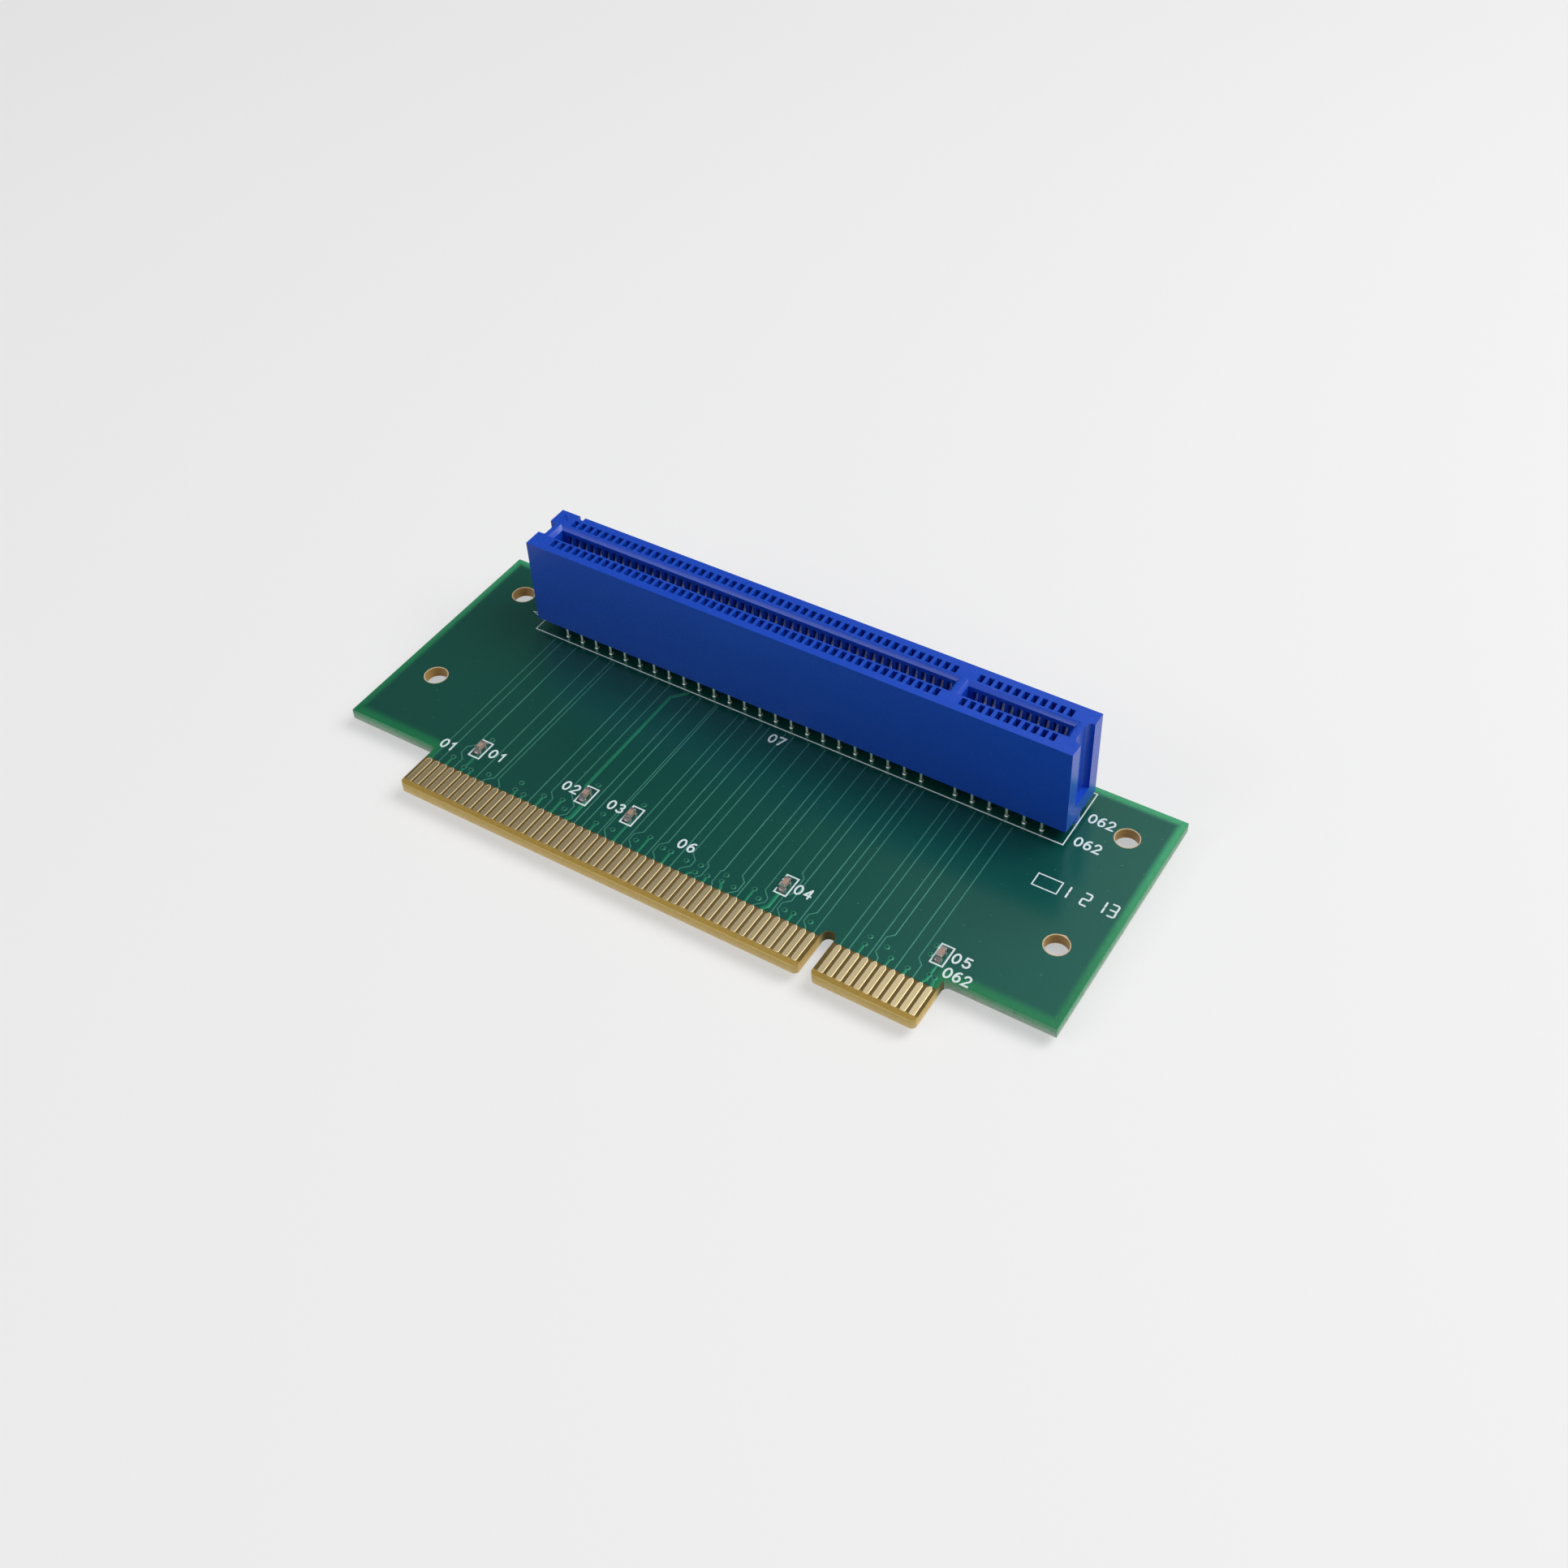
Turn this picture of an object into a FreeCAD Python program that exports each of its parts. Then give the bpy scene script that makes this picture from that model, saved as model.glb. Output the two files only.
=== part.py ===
import FreeCAD, Part
import math
import os

# Riser card for the 32-bit parallel expansion bus: a board whose edge tab plugs into one slot
# and which carries another slot standing upright on it.
# Frame: +X along the slot, +Y from the edge tab to the back edge, +Z up out of the slot.
# The origin is under the middle of the board, at the height of the contact tails' tips.

# ---------------------------------------------------------------- driving dimensions, millimetres
PITCH = 1.27                    # contact to contact, on the tab and in the slot
POSITIONS = 62                  # numbered contact positions along each side
KEY_POSITIONS = (50, 51)        # positions left out for the key

# board
BOARD_LENGTH = 109.22
BOARD_DEPTH = 38.10             # without the edge tab
BOARD_THICKNESS = 1.6
TAB_SIDE_MARGIN = 0.89          # middle of the first and last finger to the side of the tab
TAB_DEPTH = 7.62
TAB_CORNER = 0.55               # cut corners at the front of the tab
TAB_EDGE_CHAMFER = 0.15
SHOULDER_RADIUS = 0.8           # inner corners where the tab leaves the board
NOTCH_WIDTH = 1.85
NOTCH_DEPTH = 7.0

FINGER_LENGTH = 4.85
FINGER_WIDTH = 0.90
FINGER_THICKNESS = 0.05
FINGER_SETBACK = 0.85           # tab edge to the fingers' front ends
FINGER_TAPER = 0.42             # length over which the rear end narrows to its trace
FINGER_NECK = 0.36

HOLE_BORE = 3.2
HOLE_SIDE_MARGIN = 5.715        # side edge of the board to the middle of each mounting hole
HOLE_FRONT_MARGIN = 11.43       # shoulder to the front pair
HOLE_BACK_MARGIN = 6.35         # back edge to the back pair

# slot housing
SLOT_FROM_BACK_EDGE = 6.67      # back edge of the board to the middle plane of the slot
SLOT_SIDE_CLEARANCE = 0.2       # each side of the card that plugs in
SLOT_END_CLEARANCE = 0.35       # past each end of that card's tab
SLOT_DEPTH = 8.5
LEAD_IN = 0.55                  # 45 degree chamfer round the mouth of the slot
KEY_CLEARANCE = 0.10            # key to the notch of the card, in all
KEY_LEAD_IN = 0.42
HOUSING_END_WALL = 2.325        # end of the slot to the end face
HOUSING_WIDTH = 8.6
HOUSING_TOP = 15.7              # above the board
HOUSING_GAP = 1.8               # board to the underside of the housing

RAIL_LAND = 0.25                # flat top of the rail between lead-in and cavity
RAIL_HEIGHT = 1.2               # solid rail above the windows into the slot
CAVITY_MOUTH = 1.36             # opening of a cavity in the top face, across the slot
CAVITY_SIDE_CLEARANCE = 0.18    # contact to the ribs on each side of it
CAVITY_OUTER_CLEARANCE = 0.08   # tail to the outer wall of its cavity

CHANNEL_FLOOR = 4.4             # both end channels, above the board
NARROW_CHANNEL_WIDTH = 2.8      # at the first contact's end
NARROW_CHANNEL_DEPTH = 1.05
NARROW_CHANNEL_RADIUS = 0.2
WIDE_CHANNEL_WIDTH = 4.1        # at the last contact's end
WIDE_CHANNEL_DEPTH = 1.0
WIDE_CHANNEL_RADIUS = 0.85
BACK_GROOVE_WIDTH = 0.9         # in the back face, behind the first contact
BACK_GROOVE_DEPTH = 0.65
MARK_SIZE = 1.1                 # sunk triangle beside the first contact
MARK_DEPTH = 0.15
MARK_BEFORE_CONTACT = 1.9
MARK_BEHIND_SLOT = 3.05         # middle plane of the slot to the middle of the mark

FOOT_DIAMETER = 2.9
PEG_DIAMETER = 1.9
PEG_LENGTH = 2.1
PEG_HOLE_CLEARANCE = 0.2        # on the diameter
PEG_FROM_CONTACT = 1.95         # outward from the first and the last contact
KEY_FOOT_LENGTH = 1.6
KEY_FOOT_WIDTH = 3.0

# contacts
CONTACT_WIDTH = 0.40
CONTACT_THICKNESS = 0.25
FREE_END_BELOW_RAIL = 0.55
FREE_END_SETBACK = 0.72         # behind the wall of the slot
BUMP_BELOW_RAIL = 2.6
BUMP_REACH = 0.28               # into the slot
INNER_BEND_RISE = 0.5           # floor of the slot to the bend of an inner contact
OUTER_BEND_RISE = 0.6           # underside of the housing to the bend of an outer contact
INNER_TAIL_OFFSET = 1.27        # middle plane to the inner rows of tails
OUTER_TAIL_OFFSET = 3.81
TAIL_PROTRUSION = 1.5           # tip of the tail below the board
TAIL_HOLE_CLEARANCE = 0.1       # round the width of each tail, in a square hole

# chip capacitors
CAPACITOR_OFFSETS = (4.75, 22.55, 29.85, 53.85, 76.25)   # along X from the first contact
CAPACITOR_FROM_TAB_EDGE = 10.55
CAPACITOR_LENGTH = 1.60
CAPACITOR_WIDTH = 0.80
CAPACITOR_HEIGHT = 0.80
END_CAP_LENGTH = 0.35
END_CAP_WALL = 0.04
PAD_HEIGHT = 0.05
PAD_SIDE_MARGIN = 0.075         # beyond each side of the capacitor
PAD_REACH = 0.55                # beyond its end face
PAD_UNDERLAP = 0.38             # under it
FILLET_HEIGHT = 0.50

# ---------------------------------------------------------------- levels and lines worked out once
BOARD_BOTTOM = TAIL_PROTRUSION
BOARD_TOP = BOARD_BOTTOM + BOARD_THICKNESS
HOUSING_BOTTOM_Z = BOARD_TOP + HOUSING_GAP
HOUSING_TOP_Z = BOARD_TOP + HOUSING_TOP
SLOT_FLOOR_Z = HOUSING_TOP_Z - SLOT_DEPTH
TAB_EDGE_Y = -(BOARD_DEPTH + TAB_DEPTH) / 2
SHOULDER_Y = TAB_EDGE_Y + TAB_DEPTH
BACK_EDGE_Y = SHOULDER_Y + BOARD_DEPTH
SLOT_Y = BACK_EDGE_Y - SLOT_FROM_BACK_EDGE
FIRST_X = -PITCH * (POSITIONS - 1) / 2
LAST_X = -FIRST_X
TAB_LENGTH = LAST_X - FIRST_X + 2 * TAB_SIDE_MARGIN
SLOT_LENGTH = TAB_LENGTH + 2 * SLOT_END_CLEARANCE
SLOT_WIDTH = BOARD_THICKNESS + 2 * SLOT_SIDE_CLEARANCE
HOUSING_LENGTH = SLOT_LENGTH + 2 * HOUSING_END_WALL
KEY_WIDTH = NOTCH_WIDTH - KEY_CLEARANCE
RAIL_FOOT_Z = HOUSING_TOP_Z - RAIL_HEIGHT
CAVITY_INNER = SLOT_WIDTH / 2 + LEAD_IN + RAIL_LAND
CAVITY_OUTER = CAVITY_INNER + CAVITY_MOUTH
REACH = 1.0                     # how far a cutting tool runs past the faces that it opens


def contact_x(position):
    """X of a numbered contact position."""
    return FIRST_X + (position - 1) * PITCH


KEY_X = (contact_x(KEY_POSITIONS[0]) + contact_x(KEY_POSITIONS[-1])) / 2
CONTACT_NUMBERS = [n for n in range(1, POSITIONS + 1) if n not in KEY_POSITIONS]


# ---------------------------------------------------------------- small helpers
def box(x_range, y_range, z_range):
    """Box between two values on each axis."""
    size = [high - low for low, high in (x_range, y_range, z_range)]
    return Part.makeBox(*size, FreeCAD.Vector(x_range[0], y_range[0], z_range[0]))


def prism(points, direction):
    """Solid swept from a closed outline of 3-D points along a direction."""
    outline = [FreeCAD.Vector(*point) for point in points]
    face = Part.Face(Part.makePolygon(outline + outline[:1]))
    return face.extrude(FreeCAD.Vector(*direction))


def rod(diameter, x, y, z_low, z_high):
    """Upright cylinder."""
    return Part.makeCylinder(diameter / 2, z_high - z_low, FreeCAD.Vector(x, y, z_low))


def upright_edges(solid, inside):
    """Vertical edges whose middle point satisfies a test."""
    found = []
    for edge in solid.Edges:
        start, end = edge.Vertexes[0].Point, edge.Vertexes[-1].Point
        upright = abs(start.x - end.x) < 1e-6 and abs(start.y - end.y) < 1e-6
        if upright and inside((start + end) * 0.5):
            found.append(edge)
    return found


def export(name, shapes):
    """Write one node, which holds one solid or a group of separate ones."""
    shape = shapes[0] if len(shapes) == 1 else Part.makeCompound(shapes)
    shape.exportStep(f"parts/{name}.step")


# ---------------------------------------------------------------- circuit board
def mounting_holes():
    """Centres of the four mounting holes, front pair first."""
    x = BOARD_LENGTH / 2 - HOLE_SIDE_MARGIN
    rows = (SHOULDER_Y + HOLE_FRONT_MARGIN, BACK_EDGE_Y - HOLE_BACK_MARGIN)
    return [(side * x, y) for y in rows for side in (-1, 1)]


def peg_positions():
    """X of the two locating pegs under the ends of the housing."""
    return (FIRST_X - PEG_FROM_CONTACT, LAST_X + PEG_FROM_CONTACT)


def board_blank():
    """Board with its edge tab, rounded shoulders and cut tab corners, before drilling."""
    levels = (BOARD_BOTTOM, BOARD_TOP)
    body = box((-BOARD_LENGTH / 2, BOARD_LENGTH / 2), (SHOULDER_Y, BACK_EDGE_Y), levels)
    tab = box((-TAB_LENGTH / 2, TAB_LENGTH / 2), (TAB_EDGE_Y, SHOULDER_Y), levels)
    notch_top = TAB_EDGE_Y + NOTCH_DEPTH
    notch_centre = notch_top - NOTCH_WIDTH / 2
    notch_sides = (KEY_X - NOTCH_WIDTH / 2, KEY_X + NOTCH_WIDTH / 2)
    notch = box(notch_sides, (TAB_EDGE_Y - REACH, notch_centre), levels)
    notch_end = rod(NOTCH_WIDTH, KEY_X, notch_centre, *levels)
    blank = body.fuse(tab).removeSplitter()
    shoulders = upright_edges(
        blank, lambda p: abs(p.y - SHOULDER_Y) < 1e-6 and abs(p.x) < TAB_LENGTH / 2 + 1e-6
    )
    blank = blank.makeFillet(SHOULDER_RADIUS, shoulders)
    blank = blank.cut([notch, notch_end])
    corners = upright_edges(blank, lambda p: abs(p.y - TAB_EDGE_Y) < 1e-6)
    blank = blank.makeChamfer(TAB_CORNER, corners)
    front_edges = [
        edge for edge in blank.Edges
        if all(abs(vertex.Y - TAB_EDGE_Y) < 1e-6 for vertex in edge.Vertexes)
        and edge.Length > BOARD_THICKNESS
    ]
    return blank.makeChamfer(TAB_EDGE_CHAMFER, front_edges)


def circuit_board():
    """Board with its mounting, peg and tail holes."""
    z_range = (BOARD_BOTTOM - REACH, BOARD_TOP + REACH)
    tools = [rod(HOLE_BORE, x, y, *z_range) for x, y in mounting_holes()]
    for x in peg_positions():
        tools.append(rod(PEG_DIAMETER + PEG_HOLE_CLEARANCE, x, SLOT_Y, *z_range))
    half = CONTACT_WIDTH / 2 + TAIL_HOLE_CLEARANCE
    for side in (-1, 1):
        for number in CONTACT_NUMBERS:
            x = contact_x(number)
            y = SLOT_Y + side * tail_offset(number)
            tools.append(box((x - half, x + half), (y - half, y + half), z_range))
    return board_blank().cut(tools)


def edge_finger(number, z):
    """One gold-plated contact strip on the tab, narrowed at its rear end."""
    middle = contact_x(number)
    front = TAB_EDGE_Y + FINGER_SETBACK
    back = front + FINGER_LENGTH
    half, half_neck = FINGER_WIDTH / 2, FINGER_NECK / 2
    outline = [
        (middle - half, front, z), (middle + half, front, z), (middle + half, back - FINGER_TAPER, z),
        (middle + half_neck, back, z), (middle - half_neck, back, z), (middle - half, back - FINGER_TAPER, z),
    ]
    return prism(outline, (0, 0, FINGER_THICKNESS))


# ---------------------------------------------------------------- slot housing
def tail_offset(number):
    """Even contacts stand in the outer row of tails, odd ones in the inner row."""
    return OUTER_TAIL_OFFSET if number % 2 == 0 else INNER_TAIL_OFFSET


def slot_cutter(x_low, x_high, lead_low, lead_high):
    """One length of the slot, with its chamfered mouth."""
    half = SLOT_WIDTH / 2
    deepest = max(LEAD_IN, lead_low, lead_high)
    pocket = box(
        (x_low, x_high), (SLOT_Y - half, SLOT_Y + half), (SLOT_FLOOR_Z, HOUSING_TOP_Z)
    )

    def mouth_outline(z, grow_low, grow_high, grow_side):
        low, high = x_low - grow_low, x_high + grow_high
        front, back = SLOT_Y - half - grow_side, SLOT_Y + half + grow_side
        corners = [(low, front), (high, front), (high, back), (low, back)]
        points = [FreeCAD.Vector(x, y, z) for x, y in corners]
        return Part.makePolygon(points + points[:1])

    mouth = Part.makeLoft(
        [
            mouth_outline(HOUSING_TOP_Z - deepest, 0, 0, 0),
            mouth_outline(HOUSING_TOP_Z, lead_low, lead_high, LEAD_IN),
        ],
        True, True,
    )
    return pocket.fuse(mouth)


def cavity_cutter(number, side):
    """Room for one contact: open at the top, below, and through a window into the slot."""
    slot_wall = SLOT_WIDTH / 2
    tail_wall = tail_offset(number) + CONTACT_THICKNESS / 2 + CAVITY_OUTER_CLEARANCE
    profile = [
        (CAVITY_INNER, HOUSING_TOP_Z), (CAVITY_OUTER, HOUSING_TOP_Z),
        (max(CAVITY_OUTER, tail_wall), HOUSING_BOTTOM_Z), (slot_wall, HOUSING_BOTTOM_Z),
        (slot_wall, RAIL_FOOT_Z), (CAVITY_INNER, RAIL_FOOT_Z),
    ]
    width = CONTACT_WIDTH + 2 * CAVITY_SIDE_CLEARANCE
    x = contact_x(number) - width / 2
    outline = [(x, SLOT_Y + side * offset, z) for offset, z in profile]
    return prism(outline, (width, 0, 0))


def end_channel(end, width, depth, radius):
    """Upright channel in one end face, open at the top and closed by a floor."""
    face_x = end * HOUSING_LENGTH / 2
    inner_x = face_x - end * depth
    cutter = box(
        sorted((inner_x, face_x + end * REACH)),
        (SLOT_Y - width / 2, SLOT_Y + width / 2),
        (BOARD_TOP + CHANNEL_FLOOR, HOUSING_TOP_Z + REACH),
    )
    inner_corners = upright_edges(cutter, lambda p: abs(p.x - inner_x) < 1e-6)
    return cutter.makeFillet(radius, inner_corners)


def back_groove():
    """Shallow upright groove in the back face behind the first contact."""
    back = SLOT_Y + HOUSING_WIDTH / 2
    return box(
        (FIRST_X - BACK_GROOVE_WIDTH / 2, FIRST_X + BACK_GROOVE_WIDTH / 2),
        (back - BACK_GROOVE_DEPTH, back + REACH),
        (HOUSING_BOTTOM_Z - REACH, HOUSING_TOP_Z + REACH),
    )


def first_contact_mark():
    """Sunk triangle on the top face beside the first contact."""
    x = FIRST_X - MARK_BEFORE_CONTACT
    y = SLOT_Y + MARK_BEHIND_SLOT
    z = HOUSING_TOP_Z - MARK_DEPTH
    half = MARK_SIZE / 2
    outline = [(x - half, y - half, z), (x + half, y - half, z), (x - half, y + half, z)]
    return prism(outline, (0, 0, MARK_DEPTH))


def locating_foot(x):
    """Round foot that stands on the board, with the peg that enters the board below it."""
    foot = FOOT_DIAMETER / 2
    peg = PEG_DIAMETER / 2
    peg_tip_z = BOARD_TOP - PEG_LENGTH
    profile = [
        (0, peg_tip_z), (peg, peg_tip_z), (peg, BOARD_TOP),
        (foot, BOARD_TOP), (foot, HOUSING_BOTTOM_Z), (0, HOUSING_BOTTOM_Z),
    ]
    points = [FreeCAD.Vector(radius, 0, z) for radius, z in profile]
    section = Part.Face(Part.makePolygon(points + points[:1]))
    solid = section.revolve(FreeCAD.Vector(0, 0, 0), FreeCAD.Vector(0, 0, 1), 360)
    solid.translate(FreeCAD.Vector(x, SLOT_Y, 0))
    return solid


def slot_housing():
    """Moulded housing: block, feet and pegs, less the slot, cavities, channels and marks."""
    half_width = HOUSING_WIDTH / 2
    block = box(
        (-HOUSING_LENGTH / 2, HOUSING_LENGTH / 2), (SLOT_Y - half_width, SLOT_Y + half_width),
        (HOUSING_BOTTOM_Z, HOUSING_TOP_Z),
    )
    key_foot = box(
        (KEY_X - KEY_FOOT_LENGTH / 2, KEY_X + KEY_FOOT_LENGTH / 2),
        (SLOT_Y - KEY_FOOT_WIDTH / 2, SLOT_Y + KEY_FOOT_WIDTH / 2),
        (BOARD_TOP, HOUSING_BOTTOM_Z),
    )
    feet = [locating_foot(x) for x in peg_positions()] + [key_foot]
    body = block.fuse(feet).removeSplitter()
    key_half = KEY_WIDTH / 2
    tools = [
        slot_cutter(-SLOT_LENGTH / 2, KEY_X - key_half, LEAD_IN, KEY_LEAD_IN),
        slot_cutter(KEY_X + key_half, SLOT_LENGTH / 2, KEY_LEAD_IN, LEAD_IN),
        end_channel(-1, NARROW_CHANNEL_WIDTH, NARROW_CHANNEL_DEPTH, NARROW_CHANNEL_RADIUS),
        end_channel(1, WIDE_CHANNEL_WIDTH, WIDE_CHANNEL_DEPTH, WIDE_CHANNEL_RADIUS),
        back_groove(),
        first_contact_mark(),
    ]
    for side in (-1, 1):
        tools += [cavity_cutter(number, side) for number in CONTACT_NUMBERS]
    return body.cut(tools)


# ---------------------------------------------------------------- contacts
def offset_strip(path, thickness):
    """Outline of a bent strip that is coined to an edge at the first point of its path."""
    left, right = [path[0]], []
    for index, (y, z) in enumerate(path):
        if index == 0:
            continue
        directions = []
        for start, end in ((index - 1, index), (index, index + 1)):
            if end == len(path):
                continue
            run_y = path[end][0] - path[start][0]
            run_z = path[end][1] - path[start][1]
            length = math.hypot(run_y, run_z)
            directions.append((run_y / length, run_z / length))
        mean_y = sum(d[0] for d in directions)
        mean_z = sum(d[1] for d in directions)
        length = math.hypot(mean_y, mean_z)
        normal = (-mean_z / length, mean_y / length)
        across = directions[0][0] * mean_y / length + directions[0][1] * mean_z / length
        reach = thickness / 2 / across
        left.append((y + normal[0] * reach, z + normal[1] * reach))
        right.append((y - normal[0] * reach, z - normal[1] * reach))
    return left + right[::-1]


def contact(number, side):
    """Stamped spring contact: free end, bump that touches the card, bend and tail."""
    tail = tail_offset(number)
    slot_wall = SLOT_WIDTH / 2
    if tail == OUTER_TAIL_OFFSET:
        bend_z = HOUSING_BOTTOM_Z + OUTER_BEND_RISE
    else:
        bend_z = SLOT_FLOOR_Z + INNER_BEND_RISE
    path = [
        (slot_wall + FREE_END_SETBACK, RAIL_FOOT_Z - FREE_END_BELOW_RAIL),
        (slot_wall - BUMP_REACH, RAIL_FOOT_Z - BUMP_BELOW_RAIL),
        (tail, bend_z),
        (tail, BOARD_BOTTOM - TAIL_PROTRUSION),
    ]
    x = contact_x(number) - CONTACT_WIDTH / 2
    outline = [(x, SLOT_Y + side * y, z) for y, z in offset_strip(path, CONTACT_THICKNESS)]
    return prism(outline, (CONTACT_WIDTH, 0, 0))


# ---------------------------------------------------------------- chip capacitors
def capacitor_seat(offset):
    """Centre of a capacitor's underside, on top of its pads."""
    return FIRST_X + offset, TAB_EDGE_Y + CAPACITOR_FROM_TAB_EDGE, BOARD_TOP + PAD_HEIGHT


def capacitor_body(offset):
    """Ceramic block, inside its end caps."""
    x, y, z = capacitor_seat(offset)
    half_x = CAPACITOR_WIDTH / 2 - END_CAP_WALL
    half_y = CAPACITOR_LENGTH / 2 - END_CAP_WALL
    levels = (z + END_CAP_WALL, z + CAPACITOR_HEIGHT - END_CAP_WALL)
    return box((x - half_x, x + half_x), (y - half_y, y + half_y), levels)


def capacitor_ends(offset):
    """The two metal caps, each a shallow box open towards the middle."""
    x, y, z = capacitor_seat(offset)
    half_x = CAPACITOR_WIDTH / 2
    caps = []
    for end in (-1, 1):
        end_face = y + end * CAPACITOR_LENGTH / 2
        y_range = sorted((end_face, end_face - end * END_CAP_LENGTH))
        cap = box((x - half_x, x + half_x), y_range, (z, z + CAPACITOR_HEIGHT))
        caps.append(cap.cut(capacitor_body(offset)))
    return caps


def solder_fillets(offset):
    """Pad and rising solder fillet at each end of a capacitor."""
    x, y, z = capacitor_seat(offset)
    end_face = CAPACITOR_LENGTH / 2
    pad_inner = end_face - PAD_UNDERLAP
    pad_outer = end_face + PAD_REACH
    profile = [
        (pad_inner, BOARD_TOP), (pad_outer, BOARD_TOP), (pad_outer, z),
        (end_face, z + FILLET_HEIGHT), (end_face, z), (pad_inner, z),
    ]
    pad_width = CAPACITOR_WIDTH + 2 * PAD_SIDE_MARGIN
    fillets = []
    for end in (-1, 1):
        outline = [(x - pad_width / 2, y + end * run, level) for run, level in profile]
        fillets.append(prism(outline, (pad_width, 0, 0)))
    return fillets


# ---------------------------------------------------------------- the whole card
def contact_rows():
    """Contacts grouped by the row that their tails stand in."""
    rows = {}
    for side, side_name in ((-1, "front"), (1, "back")):
        for parity, row_name in ((0, "outer"), (1, "inner")):
            numbers = [n for n in CONTACT_NUMBERS if n % 2 == parity]
            rows[f"contacts_{side_name}_{row_name}"] = [contact(n, side) for n in numbers]
    return rows


def main():
    os.makedirs("parts", exist_ok=True)
    export("circuit_board", [circuit_board()])
    export("slot_housing", [slot_housing()])
    for name, contacts in contact_rows().items():
        export(name, contacts)
    underside = BOARD_BOTTOM - FINGER_THICKNESS
    export("edge_fingers_front", [edge_finger(n, BOARD_TOP) for n in CONTACT_NUMBERS])
    export("edge_fingers_back", [edge_finger(n, underside) for n in CONTACT_NUMBERS])
    for index, offset in enumerate(CAPACITOR_OFFSETS, start=1):
        export(f"capacitor_{index}", [capacitor_body(offset)])
        export(f"capacitor_{index}_ends", capacitor_ends(offset))
        export(f"capacitor_{index}_solder", solder_fillets(offset))


main()
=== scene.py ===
import math

import bmesh
import bpy
from mathutils import Matrix, Vector


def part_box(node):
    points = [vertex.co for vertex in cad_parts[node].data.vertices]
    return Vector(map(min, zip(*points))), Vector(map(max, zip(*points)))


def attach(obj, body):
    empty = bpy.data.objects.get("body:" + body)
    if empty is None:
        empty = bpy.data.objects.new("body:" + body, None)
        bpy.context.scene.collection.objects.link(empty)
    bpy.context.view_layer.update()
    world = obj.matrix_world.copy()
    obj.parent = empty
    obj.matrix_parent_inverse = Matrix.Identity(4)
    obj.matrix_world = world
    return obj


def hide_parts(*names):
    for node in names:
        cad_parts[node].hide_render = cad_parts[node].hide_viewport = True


# Riser card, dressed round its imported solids. Lengths are written in millimetres and turned
# into metres by MM. The card's own places are read from the frame.
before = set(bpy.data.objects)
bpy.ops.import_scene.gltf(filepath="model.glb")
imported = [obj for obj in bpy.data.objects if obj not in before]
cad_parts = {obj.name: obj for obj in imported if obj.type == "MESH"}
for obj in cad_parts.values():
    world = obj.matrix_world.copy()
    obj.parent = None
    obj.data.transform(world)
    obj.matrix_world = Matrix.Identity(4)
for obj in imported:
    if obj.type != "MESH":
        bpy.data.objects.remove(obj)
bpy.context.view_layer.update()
MM = 0.001


def box_mm(node):
    """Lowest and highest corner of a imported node, in millimetres."""
    low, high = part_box(node)
    return low / MM, high / MM


def new_object(name, data):
    """Object of the scene that shows a mesh, a curve, a lamp or a camera."""
    item = bpy.data.objects.new(name, data)
    bpy.context.scene.collection.objects.link(item)
    return item


# ---- places read from the frame
BOARD_LOW, BOARD_HIGH = box_mm("circuit_board")
FINGERS_LOW, FINGERS_HIGH = box_mm("edge_fingers_front")
HOUSING_LOW, HOUSING_HIGH = box_mm("slot_housing")
TOP_Z, BOTTOM_Z = BOARD_HIGH.z, BOARD_LOW.z
LEFT_X, RIGHT_X = BOARD_LOW.x, BOARD_HIGH.x
TAB_FRONT_Y, BACK_Y = BOARD_LOW.y, BOARD_HIGH.y
FINGER_FRONT_Y, FINGER_BACK_Y = FINGERS_LOW.y, FINGERS_HIGH.y
SLOT_Y = (HOUSING_LOW.y + HOUSING_HIGH.y) / 2

POSITIONS = 62
KEY_POSITIONS = (50, 51)
NUMBERS = [n for n in range(1, POSITIONS + 1) if n not in KEY_POSITIONS]
FINGER_WIDTH = 0.90
FIRST_X = FINGERS_LOW.x + FINGER_WIDTH / 2
LAST_X = FINGERS_HIGH.x - FINGER_WIDTH / 2
PITCH = (LAST_X - FIRST_X) / (POSITIONS - 1)
KEY_X = FIRST_X + (sum(KEY_POSITIONS) / 2 - 1) * PITCH

# sizes of the card that its boxes don't give
TAB_DEPTH = 7.62
TAB_HALF_LENGTH = 39.625
SHOULDER_Y = TAB_FRONT_Y + TAB_DEPTH
SHOULDER_RADIUS = 0.8
NOTCH_DEPTH = 7.0
NOTCH_HALF_WIDTH = 0.925
NOTCH_CENTRE_Y = TAB_FRONT_Y + NOTCH_DEPTH - NOTCH_HALF_WIDTH
HOLE_RADIUS = 1.6
HOLE_SIDE_MARGIN, HOLE_FRONT_MARGIN, HOLE_BACK_MARGIN = 5.715, 11.43, 6.35
HOLE_X = RIGHT_X - HOLE_SIDE_MARGIN
HOLE_YS = (SHOULDER_Y + HOLE_FRONT_MARGIN, BACK_Y - HOLE_BACK_MARGIN)
HOLES = [(side * HOLE_X, y) for y in HOLE_YS for side in (-1, 1)]
INNER_TAIL, OUTER_TAIL = 1.27, 3.81
PEG_OFFSET = 1.95
PEG_XS = (FIRST_X - PEG_OFFSET, LAST_X + PEG_OFFSET)
CAPACITORS = range(1, 6)


def contact_x(number):
    """X of a numbered contact position."""
    return FIRST_X + (number - 1) * PITCH


def at(along, back):
    """Point of the artwork: along from the first finger's middle, back from the fingers' ends."""
    return FIRST_X + along, FINGER_BACK_Y + back


TAILS = [
    (contact_x(n), SLOT_Y + side * (OUTER_TAIL if n % 2 == 0 else INNER_TAIL))
    for side in (-1, 1) for n in NUMBERS
]


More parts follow.
